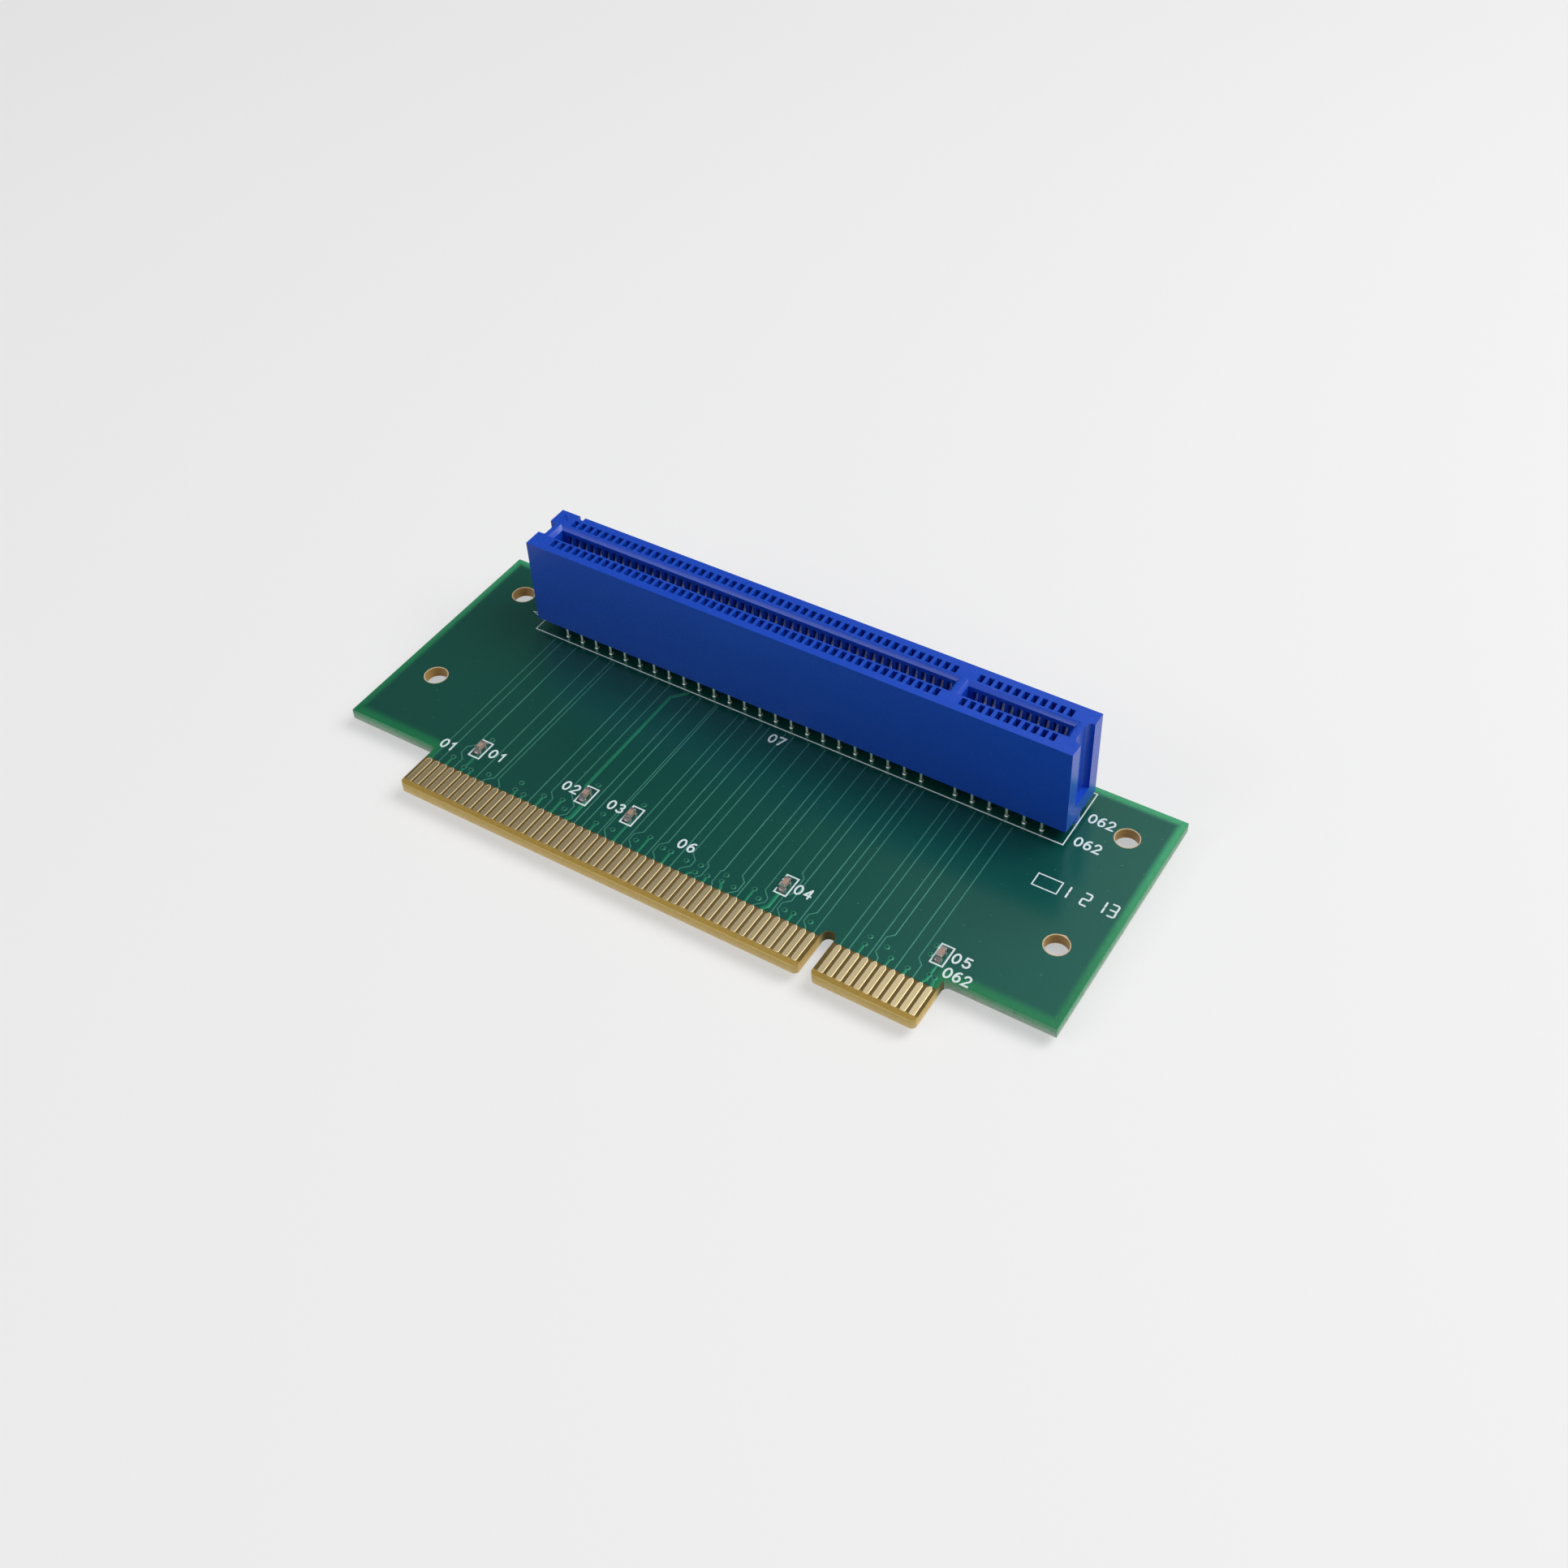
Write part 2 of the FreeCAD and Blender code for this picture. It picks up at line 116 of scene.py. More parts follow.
# ---- node graphs
def new_material(name):
    """Material, its node tree and its Principled shader."""
    material = bpy.data.materials.new(name)
    material.use_nodes = True
    tree = material.node_tree
    return material, tree, tree.nodes["Principled BSDF"]


def feed(node, inputs):
    """Fills inputs, by name or number, each with a link to a socket or with a constant."""
    for key, value in inputs.items():
        if isinstance(value, bpy.types.NodeSocket):
            node.id_data.links.new(value, node.inputs[key])
        else:
            node.inputs[key].default_value = value


def node_beside(kind, *values):
    """New node in the tree of the first value that is a socket."""
    sockets = [value for value in values if isinstance(value, bpy.types.NodeSocket)]
    return sockets[0].id_data.nodes.new(kind)


def calc(operation, *values):
    """One Math node."""
    node = node_beside("ShaderNodeMath", *values)
    node.operation = operation
    feed(node, dict(enumerate(values)))
    return node.outputs[0]


def ramp(value, low, high, start=0.0, end=1.0):
    """Smooth step from start, at low, to end, at high."""
    node = node_beside("ShaderNodeMapRange", value)
    node.interpolation_type = "SMOOTHSTEP"
    feed(node, {"Value": value, "From Min": low, "From Max": high, "To Min": start, "To Max": end})
    return node.outputs["Result"]


def blend_colour(factor, first, second, kind="MIX"):
    """Blend of two colours, or their product by the kind MULTIPLY."""
    node = node_beside("ShaderNodeMix", factor, first, second)
    node.data_type = "RGBA"
    node.blend_type = kind
    feed(node, {0: factor, 6: first, 7: second})
    return node.outputs[2]


def blend_value(factor, first, second):
    """Blend of two numbers."""
    node = node_beside("ShaderNodeMix", factor, first, second)
    feed(node, {0: factor, 2: first, 3: second})
    return node.outputs[0]


def parts(vector):
    """The three parts of a vector."""
    node = node_beside("ShaderNodeSeparateXYZ", vector)
    feed(node, {0: vector})
    return tuple(node.outputs)


def place(tree):
    """Place on the object in millimetres: the vector and its three parts."""
    coordinates = tree.nodes.new("ShaderNodeTexCoord").outputs["Object"]
    node = tree.nodes.new("ShaderNodeVectorMath")
    node.operation = "SCALE"
    feed(node, {0: coordinates, "Scale": 1 / MM})
    return node.outputs[0], parts(node.outputs[0])


def stretched(vector, *scales):
    """The place, scaled by its own amount along each axis."""
    node = node_beside("ShaderNodeVectorMath", vector)
    node.operation = "MULTIPLY"
    feed(node, {0: vector, 1: scales})
    return node.outputs[0]


def noise(vector, scale, detail=3.0, roughness=0.5):
    """Noise whose scale counts its features per millimetre."""
    node = node_beside("ShaderNodeTexNoise", vector)
    feed(node, {"Vector": vector, "Scale": scale, "Detail": detail, "Roughness": roughness})
    return node.outputs["Fac"]


FLAT_NORMAL = 0.8  # a face whose normal rises or falls by more than this is flat


def facing_up(tree):
    """1 on faces that lie flat, 0 on the board's cut edges and hole walls."""
    rise = parts(tree.nodes.new("ShaderNodeNewGeometry").outputs["Normal"])[2]
    return calc("GREATER_THAN", calc("ABSOLUTE", rise), FLAT_NORMAL)


def bump(shader, height, depth_mm, sockets=("Normal",)):
    """Relief of a given depth on the shader's normals."""
    node = node_beside("ShaderNodeBump", height)
    feed(node, {"Distance": depth_mm * MM, "Height": height})
    feed(shader, dict.fromkeys(sockets, node.outputs[0]))


def varnish(shader):
    """Satin clear layer of the solder mask."""
    feed(shader, {
        "Specular IOR Level": 0.1, "Coat Weight": 1.0, "Coat Roughness": 0.18, "Coat IOR": 1.36,
    })


def rgb(red, green, blue):
    """Display colour, 0 to 255, as linear light."""
    shares = (red / 255, green / 255, blue / 255)
    return tuple(s / 12.92 if s <= 0.04045 else ((s + 0.055) / 1.055) ** 2.4 for s in shares) + (1.0,)


# ---- materials
EDGE_MARGIN = 0.95  # board edge to the copper plane that darkens the mask
FRONT_MARGIN = 1.30
MARGIN_BLUR = 0.55
RIM_WIDTH = 0.17  # bare ring round each mounting hole
HOLE_ZONE = 1.0  # laminate round a hole that takes the colours of its rim
PLANE_REACH = 0.4  # how far past the tab's sides the plane still comes to the front
TAB_COLOUR_END = 0.4  # how far in front of the shoulders the tab's own colours end
WARP_PITCH, WEFT_PITCH = 0.5, 0.6
GAP_SHADE_FADE = (-0.05, 0.3)  # depths from the fingers' front ends between which the strip turns dark with painted shade
SHADED_EDGE = (5.0, 6.6)  # depths on the tab between which its side edges turn dark
PALE_PATCH_DEPTH = 0.5  # paler patches of the housing reach this far below its top


def mask_material():
    """Green solder mask: dark over the copper plane, lighter along the board's edges, with painted light
    that brightens that border towards the back.
    """
    material, tree, shader = new_material("solder_mask_green")
    vector, (x, y, _) = place(tree)
    across = calc("ABSOLUTE", x)
    from_side = calc("DIVIDE", calc("SUBTRACT", RIGHT_X, across), EDGE_MARGIN)
    from_back = calc("DIVIDE", calc("SUBTRACT", BACK_Y, y), EDGE_MARGIN)
    beside_tab = calc("SUBTRACT", TAB_HALF_LENGTH + PLANE_REACH, across)
    from_front = calc("SUBTRACT", y, SHOULDER_Y)
    from_front = calc("DIVIDE", calc("MAXIMUM", from_front, beside_tab), FRONT_MARGIN)
    nearest = calc("MINIMUM", calc("MINIMUM", from_side, from_back), from_front)
    over_plane = ramp(nearest, 1 - MARGIN_BLUR, 1 + MARGIN_BLUR)

    cloud = noise(vector, 0.06, 3.0)
    weave = noise(stretched(vector, 1.6, 1.6, 1.0), 1.0, 2.0)
    plane = blend_colour(cloud, (0.003, 0.092, 0.068, 1.0), (0.004, 0.108, 0.080, 1.0))
    # painted light: the border's green brightens from the shoulders towards the back edge
    backward = ramp(y, SHOULDER_Y, BACK_Y)
    laminate = blend_colour(backward, (0.009, 0.195, 0.075, 1.0), (0.045, 0.365, 0.160, 1.0))
    mottle = blend_colour(weave, (0.84, 0.84, 0.84, 1.0), (1.14, 1.14, 1.14, 1.0))
    laminate = blend_colour(1.0, laminate, mottle, "MULTIPLY")
    specks = ramp(noise(vector, 2.3, 1.0), 0.76, 0.80)
    base = blend_colour(over_plane, laminate, plane)
    base = blend_colour(calc("MULTIPLY", specks, 0.25), base, rgb(150, 190, 165))
    feed(shader, {
        "Base Color": base,
        "Metallic": blend_value(over_plane, 0.30, 0.65),
        "Roughness": calc("MULTIPLY_ADD", weave, 0.14, 0.34),
    })
    varnish(shader)
    bump(shader, weave, 0.004, ("Normal", "Coat Normal"))
    return material


def copper_mask_material(name, dark, light):
    """Solder mask over copper that stands proud: traces and via rings."""
    material, tree, shader = new_material(name)
    vector, _ = place(tree)
    tone = noise(vector, 0.4, 4.0)
    feed(shader, {
        "Base Color": blend_colour(tone, (*dark, 1.0), (*light, 1.0)),
        "Metallic": 0.6,
        "Roughness": calc("MULTIPLY_ADD", tone, 0.1, 0.32),
    })
    varnish(shader)
    bump(shader, noise(vector, 5.0, 2.0), 0.004, ("Normal", "Coat Normal"))
    return material


def laminate_material():
    """Bare glass-epoxy: golden tab, greenish cut edges, brown drilled holes with pale rims."""
    material, tree, shader = new_material("glass_epoxy_laminate")
    vector, (x, y, z) = place(tree)
    flat = facing_up(tree)
    across = calc("ABSOLUTE", x)

    # flat faces: woven cloth under resin, darkened between the fingers with painted shade
    warp = calc("SINE", calc("MULTIPLY", x, 2 * math.pi / WARP_PITCH))
    weft = calc("SINE", calc("MULTIPLY", y, 2 * math.pi / WEFT_PITCH))
    woven = calc("MULTIPLY", warp, weft)
    cloth = calc("MULTIPLY_ADD", woven, 0.08, noise(vector, 1.6, 5.0, 0.65))
    strip = blend_colour(cloth, rgb(146, 115, 46), rgb(174, 146, 70))
    gap_shade = blend_colour(cloth, rgb(86, 68, 24), rgb(110, 90, 42))
    among_fingers = ramp(y, *(FINGER_FRONT_Y + depth for depth in GAP_SHADE_FADE))
    face = blend_colour(among_fingers, strip, gap_shade)
    on_tab = calc("LESS_THAN", y, SHOULDER_Y - TAB_COLOUR_END)
    face = blend_colour(on_tab, rgb(74, 138, 98), face)

    # rims and walls of the mounting holes
    near_hole = None
    for hole_y in HOLE_YS:
        off_x = calc("SUBTRACT", across, HOLE_X)
        off_y = calc("SUBTRACT", y, hole_y)
        squares = calc("MULTIPLY_ADD", off_x, off_x, calc("MULTIPLY", off_y, off_y))
        near = calc("LESS_THAN", squares, (HOLE_RADIUS + HOLE_ZONE) ** 2)
        near_hole = near if near_hole is None else calc("MAXIMUM", near_hole, near)
    face = blend_colour(near_hole, face, rgb(206, 184, 146))

    # cut edges: layers of glass, greener towards the mask; the tab's own edge is golden
    layers = noise(stretched(vector, 0.8, 0.8, 6.0), 1.0, 6.0, 0.7)
    fibres = noise(stretched(vector, 4.0, 4.0, 2.0), 1.0, 3.0, 0.6)
    speckle = calc("MULTIPLY_ADD", fibres, 0.5, calc("MULTIPLY", layers, 0.5))
    height = ramp(z, BOTTOM_Z, TOP_Z)
    low_edge = blend_colour(speckle, rgb(124, 150, 132), rgb(196, 214, 200))
    high_edge = blend_colour(speckle, rgb(44, 136, 92), rgb(112, 186, 142))
    body_edge = blend_colour(height, low_edge, high_edge)
    stain = ramp(noise(vector, 0.9, 4.0, 0.6), 0.50, 0.68, 0.0, 0.35)
    body_edge = blend_colour(stain, body_edge, rgb(112, 112, 74))
    low_tab_edge = blend_colour(speckle, rgb(205, 169, 99), rgb(250, 228, 172))
    high_tab_edge = blend_colour(speckle, rgb(179, 146, 63), rgb(232, 206, 137))
    tab_edge = blend_colour(height, low_tab_edge, high_tab_edge)
    shaded_edge = blend_colour(speckle, rgb(52, 52, 30), rgb(116, 116, 78))
    in_shade = ramp(y, *(TAB_FRONT_Y + depth for depth in SHADED_EDGE))
    tab_edge = blend_colour(in_shade, tab_edge, shaded_edge)
    edge = blend_colour(on_tab, body_edge, tab_edge)
    wall = blend_colour(layers, rgb(116, 80, 28), rgb(232, 190, 110))
    edge = blend_colour(near_hole, edge, wall)

    edge_roughness = blend_value(near_hole, 0.78, 0.32)
    face_roughness = calc("MULTIPLY_ADD", cloth, 0.2, 0.42)
    feed(shader, {
        "Base Color": blend_colour(flat, edge, face),
        "Roughness": blend_value(flat, edge_roughness, face_roughness),
        "Specular IOR Level": 0.3,
    })
    bump(shader, blend_value(flat, speckle, cloth), 0.03)
    return material


def ink_material():
    """Screen-printed white ink: matt and slightly uneven."""
    material, tree, shader = new_material("legend_ink")
    vector, _ = place(tree)
    tone = noise(vector, 3.0, 4.0, 0.6)
    base = blend_colour(tone, rgb(206, 222, 224), rgb(238, 248, 250))
    feed(shader, {"Base Color": base, "Roughness": 0.5, "Specular IOR Level": 0.3})
    bump(shader, tone, 0.006)
    return material


def plastic_material():
    """Moulded blue plastic: faint flow marks, fine grain and paler patches near the top."""
    material, tree, shader = new_material("moulded_blue_plastic")
    vector, (_, _, z) = place(tree)
    flow = noise(stretched(vector, 0.04, 0.4, 0.2), 1.0, 4.0)
    grain = noise(vector, 8.0, 3.0, 0.6)
    base = blend_colour(flow, (0.004, 0.058, 0.49, 1.0), (0.007, 0.072, 0.56, 1.0))
    pale_patches = ramp(noise(stretched(vector, 0.8, 3.0, 3.0), 1.0, 5.0, 0.7), 0.60, 0.72)
    near_top = ramp(z, HOUSING_HIGH.z - PALE_PATCH_DEPTH, HOUSING_HIGH.z)
    pale_share = calc("MULTIPLY", calc("MULTIPLY", pale_patches, near_top), 0.22)
    feed(shader, {
        "Base Color": blend_colour(pale_share, base, rgb(120, 150, 220)),
        "Roughness": calc("MULTIPLY_ADD", grain, 0.14, 0.22),
        "IOR": 1.45,
    })
    bump(shader, grain, 0.006)
    return material


def metal_material(name, dark, light, roughness, streak, uneven=0.15, relief=0.004):
    """Plated metal with streaks drawn out along the axis with the smallest number."""
    material, tree, shader = new_material(name)
    vector, _ = place(tree)
    streaks = noise(stretched(vector, *streak), 1.0, 4.0, 0.6)
    clouds = calc("MULTIPLY", noise(vector, 0.35), 0.4)
    tone = calc("MULTIPLY_ADD", streaks, 0.6, clouds)
    feed(shader, {
        "Base Color": blend_colour(tone, (*dark, 1.0), (*light, 1.0)),
        "Metallic": 1.0,
        "Roughness": calc("MULTIPLY_ADD", streaks, uneven, roughness),
    })
    bump(shader, streaks, relief)
    return material


def ceramic_material():
    """Fired ceramic of a chip capacitor: grainy pinkish brown."""
    material, tree, shader = new_material("capacitor_ceramic")
    vector, _ = place(tree)
    grain = noise(vector, 7.0, 5.0, 0.7)
    base = blend_colour(grain, rgb(140, 112, 98), rgb(190, 160, 142))
    feed(shader, {"Base Color": base, "Roughness": 0.4})
    bump(shader, grain, 0.01)
    return material


MASK = mask_material()
TRACE_MASK = copper_mask_material("mask_over_traces", (0.050, 0.25, 0.180), (0.066, 0.31, 0.220))
WIDE_MASK = copper_mask_material("mask_over_wide_traces", (0.010, 0.23, 0.115), (0.016, 0.29, 0.145))
VIA_MASK = copper_mask_material("mask_over_vias", (0.012, 0.17, 0.105), (0.020, 0.22, 0.135))
PLUG_MASK = copper_mask_material("mask_in_vias", (0.002, 0.03, 0.022), (0.003, 0.045, 0.03))
LAMINATE = laminate_material()
INK = ink_material()
PLASTIC = plastic_material()
GOLD = metal_material(
    "pale_gold_plating", (0.97, 0.75, 0.43), (1.0, 0.86, 0.51), 0.20, (3.0, 0.3, 1.0),
    uneven=0.08, relief=0.002,
)
TIN = metal_material("bright_tin", (0.62, 0.61, 0.60), (0.86, 0.85, 0.83), 0.22, (4.0, 4.0, 0.6))
SOLDER = metal_material("dull_solder", (0.28, 0.28, 0.29), (0.50, 0.50, 0.51), 0.20, (3.0, 3.0, 3.0))
# near-black base colour: painted dark reflection, so that only the lamps show in it as highlights
CHIP_SOLDER = metal_material(
    "lumpy_solder", (0.07, 0.07, 0.075), (0.26, 0.25, 0.24), 0.08, (2.2, 2.2, 2.2),
    uneven=0.10, relief=0.05,
)
END_CAP = metal_material(
    "tinned_end_cap", (0.28, 0.27, 0.26), (0.66, 0.63, 0.59), 0.18, (2.5, 2.5, 2.5),
    uneven=0.2, relief=0.02,
)
CERAMIC = ceramic_material()


# ---- mesh helpers
# turns between two faces up to which the shading stays smooth
SMOOTH_LIMIT = math.radians(20)
ROUND_LIMIT = math.radians(60)
FINGER_LIMIT = math.radians(5)
SOLDER_LIMIT = math.radians(70)
CHIP_SOLDER_LIMIT = math.radians(45)

SHARP_EDGE = math.radians(35)  # edges that turn by more than this are softened
FLAT_JOIN = math.radians(1)  # faces that turn by less than this become one
WELD = 0.0005  # vertices nearer than this become one
SOFT_EDGE = 0.05  # how far sharp edges are rounded
SOFT_BOARD_EDGE, SOFT_END_CAP_EDGE = 0.04, 0.02


def finish_piece(name, mesh, material, replaced=()):
    """Turns a mesh in metres into a piece that rides on the card's one body."""
    mesh.materials.clear()
    mesh.materials.append(material)
    piece = new_object(name, mesh)
    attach(piece, "root")
    if replaced:
        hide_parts(*replaced)


def shade(shape, limit=SMOOTH_LIMIT):
    """Smooth shading with creases wherever two faces turn by more than the limit."""
    for face in shape.faces:
        face.smooth = True
    for edge in shape.edges:
        edge.smooth = len(edge.link_faces) == 2 and edge.calc_face_angle() < limit


class Builder:
    """Vertices, in millimetres, and faces of one piece, collected part by part."""

    def __init__(self):
        self.vertices = []
        self.faces = []
        self.strokes = 0

    def add(self, vertices, faces, shift=(0.0, 0.0, 0.0)):
        """Takes in one part, moved to its place."""
        start = len(self.vertices)
        self.vertices += [tuple(c + s for c, s in zip(vertex, shift)) for vertex in vertices]
        self.faces += [tuple(start + i for i in face) for face in faces]

    def piece(self, name, material, slot, limit=SMOOTH_LIMIT, replaced=()):
        """Makes the piece out of what was collected."""
        mesh = bpy.data.meshes.new(name)
        mesh.from_pydata([tuple(c * MM for c in v) for v in self.vertices], [], self.faces)
        shape = bmesh.new()
        shape.from_mesh(mesh)
        shade(shape, limit)
        shape.to_mesh(mesh)
        shape.free()
        finish_piece(name, mesh, material, replaced)


def arc(centre, radii, start, end, steps):
    """Points on an elliptical arc, angles in degrees."""
    points = []
    for i in range(steps + 1):
        angle = math.radians(start + (end - start) * i / steps)
        points.append((centre[0] + radii[0] * math.cos(angle), centre[1] + radii[1] * math.sin(angle)))
    return points


def circle(x, y, radius, steps):
    """Points of a closed circle, the first one not repeated."""
    return arc((x, y), (radius, radius), 0, 360, steps)[:-1]


SAME_PLACE = 0.001  # a line whose ends are nearer than this is closed
LAYER_STEP = 0.0008  # lines that cross differ in height, so no two tops share a plane
LAYER_COUNT = 6
CAP_STEPS = 3
CAP_END = 0.05  # share of a line's width left at the tip of its round end
NARROWEST_TOP = 0.3  # least share of a line's width that its top keeps
MITRE_LIMIT = 0.5  # keeps sharp turns from running out to a spike


def stroke_rows(points, half):
    """Cross rows of a flat line: middle, sideways vector and half width; open lines end round."""
    line = [Vector(point) for point in points]
    closed = (line[0] - line[-1]).length < SAME_PLACE
    if closed:
        line.pop()
    rows = []
    for i, here in enumerate(line):
        into = (here - line[i - 1]).normalized() if i or closed else None
        out = (line[(i + 1) % len(line)] - here).normalized() if i + 1 < len(line) or closed else None
        into, out = into or out, out or into
        mean = (into + out).normalized()
        side = Vector((-mean.y, mean.x)) / max(mean.dot(out), MITRE_LIMIT)
        rows.append((here, side, half))
    if closed:
        return rows + rows[:1], True
    for end, ahead in ((0, 1), (-1, -1)):
        middle, side, _ = rows[end]
        back = Vector((side.y, -side.x)).normalized() * -ahead
        caps = []
        for k in range(1, CAP_STEPS + 1):
            angle = math.pi / 2 * k / CAP_STEPS
            width = max(half * math.cos(angle), half * CAP_END)
            caps.append((middle + back * half * math.sin(angle), side, width))
        rows = caps[::-1] + rows if end == 0 else rows + caps
    return rows, False


def band(low, high, count):
    """Faces between two loops of as many vertices, whose numbers start at low and at high."""
    return [(low + i, low + (i + 1) % count, high + (i + 1) % count, high + i) for i in range(count)]


def add_stroke(builder, points, width, z, rise, slope):
    """Raised line along points on a face of the board; rise is negative on the underside."""
    rows, closed = stroke_rows(points, width / 2)
    rise += math.copysign(LAYER_STEP * (builder.strokes % LAYER_COUNT), rise)
    builder.strokes += 1
    vertices = []
    for middle, side, half in rows:
        top = max(half - slope, half * NARROWEST_TOP)
        for reach, level in ((half, z), (top, z + rise), (-top, z + rise), (-half, z)):
            vertices.append((*(middle + side * reach), level))
    faces = []
    for i in range(len(rows) - 1):
        faces += band(4 * i, 4 * i + 4, 4)
    last = 4 * (len(rows) - 1)
    if not closed:
        faces += [(3, 2, 1, 0), (last, last + 1, last + 2, last + 3)]
    if rise < 0:
        faces = [face[::-1] for face in faces]
    builder.add(vertices, faces)


def lathe(profile, steps):
    """Open surface of a profile of (radius, z) turned about Z; the profile runs inwards."""
    vertices = [(x, y, z) for radius, z in profile for x, y in circle(0, 0, radius, steps)]
    faces = []
    for ring in range(len(profile) - 1):
        faces += band(ring * steps, (ring + 1) * steps, steps)
    return vertices, faces


def flipped(shape):
    """The same shape upside down, with its faces still turned outwards."""
    vertices, faces = shape
    return [(x, y, -z) for x, y, z in vertices], [face[::-1] for face in faces]


def flat_sheet(name, outline, holes, z_low, z_high):
    """Mesh of a thin sheet, in metres, with holes cut through it."""
    curve = bpy.data.curves.new(name, "CURVE")
    curve.dimensions = "2D"
    curve.fill_mode = "BOTH"
    curve.extrude = (z_high - z_low) / 2 * MM
    for loop in [outline] + holes:
        spline = curve.splines.new("POLY")
        spline.points.add(len(loop) - 1)
        for point, (x, y) in zip(spline.points, loop):
            point.co = (x * MM, y * MM, 0.0, 1.0)
        spline.use_cyclic_u = True
    carrier = new_object(name, curve)
    bpy.context.view_layer.update()
    mesh = bpy.data.meshes.new_from_object(carrier.evaluated_get(bpy.context.evaluated_depsgraph_get()))
    mesh.transform(Matrix.Translation((0, 0, (z_low + z_high) / 2 * MM)))
    bpy.data.objects.remove(carrier)
    bpy.data.curves.remove(curve)
    return mesh


def add_softened(node, name, material, width=SOFT_EDGE, chosen=lambda middle: True):
    """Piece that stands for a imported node, in the same form with its chosen sharp edges rounded."""
    shape = bmesh.new()
    shape.from_mesh(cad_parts[node].data)
    bmesh.ops.remove_doubles(shape, verts=shape.verts, dist=WELD * MM)
    bmesh.ops.dissolve_limit(
        shape, angle_limit=FLAT_JOIN, use_dissolve_boundaries=False,
        verts=shape.verts, edges=shape.edges,
    )
    sharp = []
    for edge in shape.edges:
        middle = (edge.verts[0].co + edge.verts[1].co) / 2 / MM
        if len(edge.link_faces) == 2 and edge.calc_face_angle() > SHARP_EDGE and chosen(middle):
            sharp.append(edge)
    bmesh.ops.bevel(
        shape, geom=sharp, offset=width * MM, offset_type="OFFSET", segments=2, profile=0.5,
        affect="EDGES", clamp_overlap=True,
    )
    shade(shape)
    mesh = bpy.data.meshes.new(name)
    shape.to_mesh(mesh)
    shape.free()
    finish_piece(name, mesh, material, (node,))


# ---- board and solder mask
MASK_THICKNESS = 0.03
MASK_INSET = 0.07
MASK_TOP = TOP_Z + MASK_THICKNESS
MASK_BOTTOM = BOTTOM_Z - MASK_THICKNESS
CHIPPED_HOLE = 1  # the hole of the front right corner has a chip in its rim
CHIP_DEPTH = 0.16
CHIP_ANGLE, CHIP_SPREAD = 80, 20  # degrees: where the chip is on the rim, and half its length
MASK_LAP = 0.01  # how far each sheet lies in the board
TOP_OPENINGS = (0.42, 1.55)  # radius of the openings for a tail and for a peg
UNDERSIDE_OPENINGS = (0.62, 1.25)
KEY_FOOT_HALF = (0.9, 1.6)  # half sizes of the opening for the housing's foot below its key


def mask_outline():
    """Outline of the mask, anticlockwise from its front left corner on the tab."""
    side = TAB_HALF_LENGTH - MASK_INSET
    notch = NOTCH_HALF_WIDTH + MASK_INSET
    shoulder = SHOULDER_RADIUS + MASK_INSET
    corner_x = TAB_HALF_LENGTH + SHOULDER_RADIUS
    corner_y = SHOULDER_Y - SHOULDER_RADIUS
    outline = [(-side, FINGER_BACK_Y), (KEY_X - notch, FINGER_BACK_Y)]
    outline += arc((KEY_X, NOTCH_CENTRE_Y), (notch, notch), 180, 0, 14)
    outline += [(KEY_X + notch, FINGER_BACK_Y), (side, FINGER_BACK_Y)]
    outline += arc((corner_x, corner_y), (shoulder, shoulder), 180, 90, 8)
    front, back = SHOULDER_Y + MASK_INSET, BACK_Y - MASK_INSET
    left, right = LEFT_X + MASK_INSET, RIGHT_X - MASK_INSET
    outline += [(right, front), (right, back), (left, back), (left, front)]
    outline += arc((-corner_x, corner_y), (shoulder, shoulder), 90, 0, 8)
    return outline


def mounting_opening(index, x, y):
    """Opening of the mask round a mounting hole, with the chip where there is one."""
    radius = HOLE_RADIUS + RIM_WIDTH
    points = []
    for px, py in circle(0, 0, 1, 48):
        reach = radius
        off = abs(math.degrees(math.atan2(py, px)) - CHIP_ANGLE)
        if index == CHIPPED_HOLE and off < CHIP_SPREAD:
            reach += CHIP_DEPTH * (1 - off / CHIP_SPREAD)
        points.append((x + px * reach, y + py * reach))
    return points


def add_mask():
    """Mask of both faces, open at the mounting holes, the pegs, the tails and the key's foot."""
    half_x, half_y = KEY_FOOT_HALF
    foot = [(KEY_X + x * half_x, SLOT_Y + y * half_y) for x, y in ((-1, -1), (1, -1), (1, 1), (-1, 1))]
    for name, low, high, (tail_opening, peg_opening), more in (
        ("solder_mask_top", TOP_Z - MASK_LAP, MASK_TOP, TOP_OPENINGS, [foot]),
        ("solder_mask_underside", MASK_BOTTOM, BOTTOM_Z + MASK_LAP, UNDERSIDE_OPENINGS, []),
    ):
        holes = [mounting_opening(i, x, y) for i, (x, y) in enumerate(HOLES)]
        holes += [circle(x, SLOT_Y, peg_opening, 24) for x in PEG_XS]
        holes += [circle(x, y, tail_opening, 12) for x, y in TAILS]
        mesh = flat_sheet(name, mask_outline(), holes + more, low, high)
        finish_piece(name, mesh, MASK)


# ---- copper under the mask
TRACE_WIDTH = 0.25
TRACE_RISE = 0.013
TRACE_SLOPE = 0.06
STUB_WIDTH = 0.42
STUB_RISE = 0.018
SUNK = 0.01  # how far the foot of a printed layer lies in the one below
TRACE_START = 0.02  # back from the fingers' ends
TRACE_END = 28.0  # where the traces run in under the housing
SHORTEST_LEAD = 0.1  # least straight run before a trace turns

STRAIGHT_TRACES = (1, 2, 7, 14, 20, 21, 23, 26, 29, 32, 40, 47, 49, 52, 53, 55, 58)
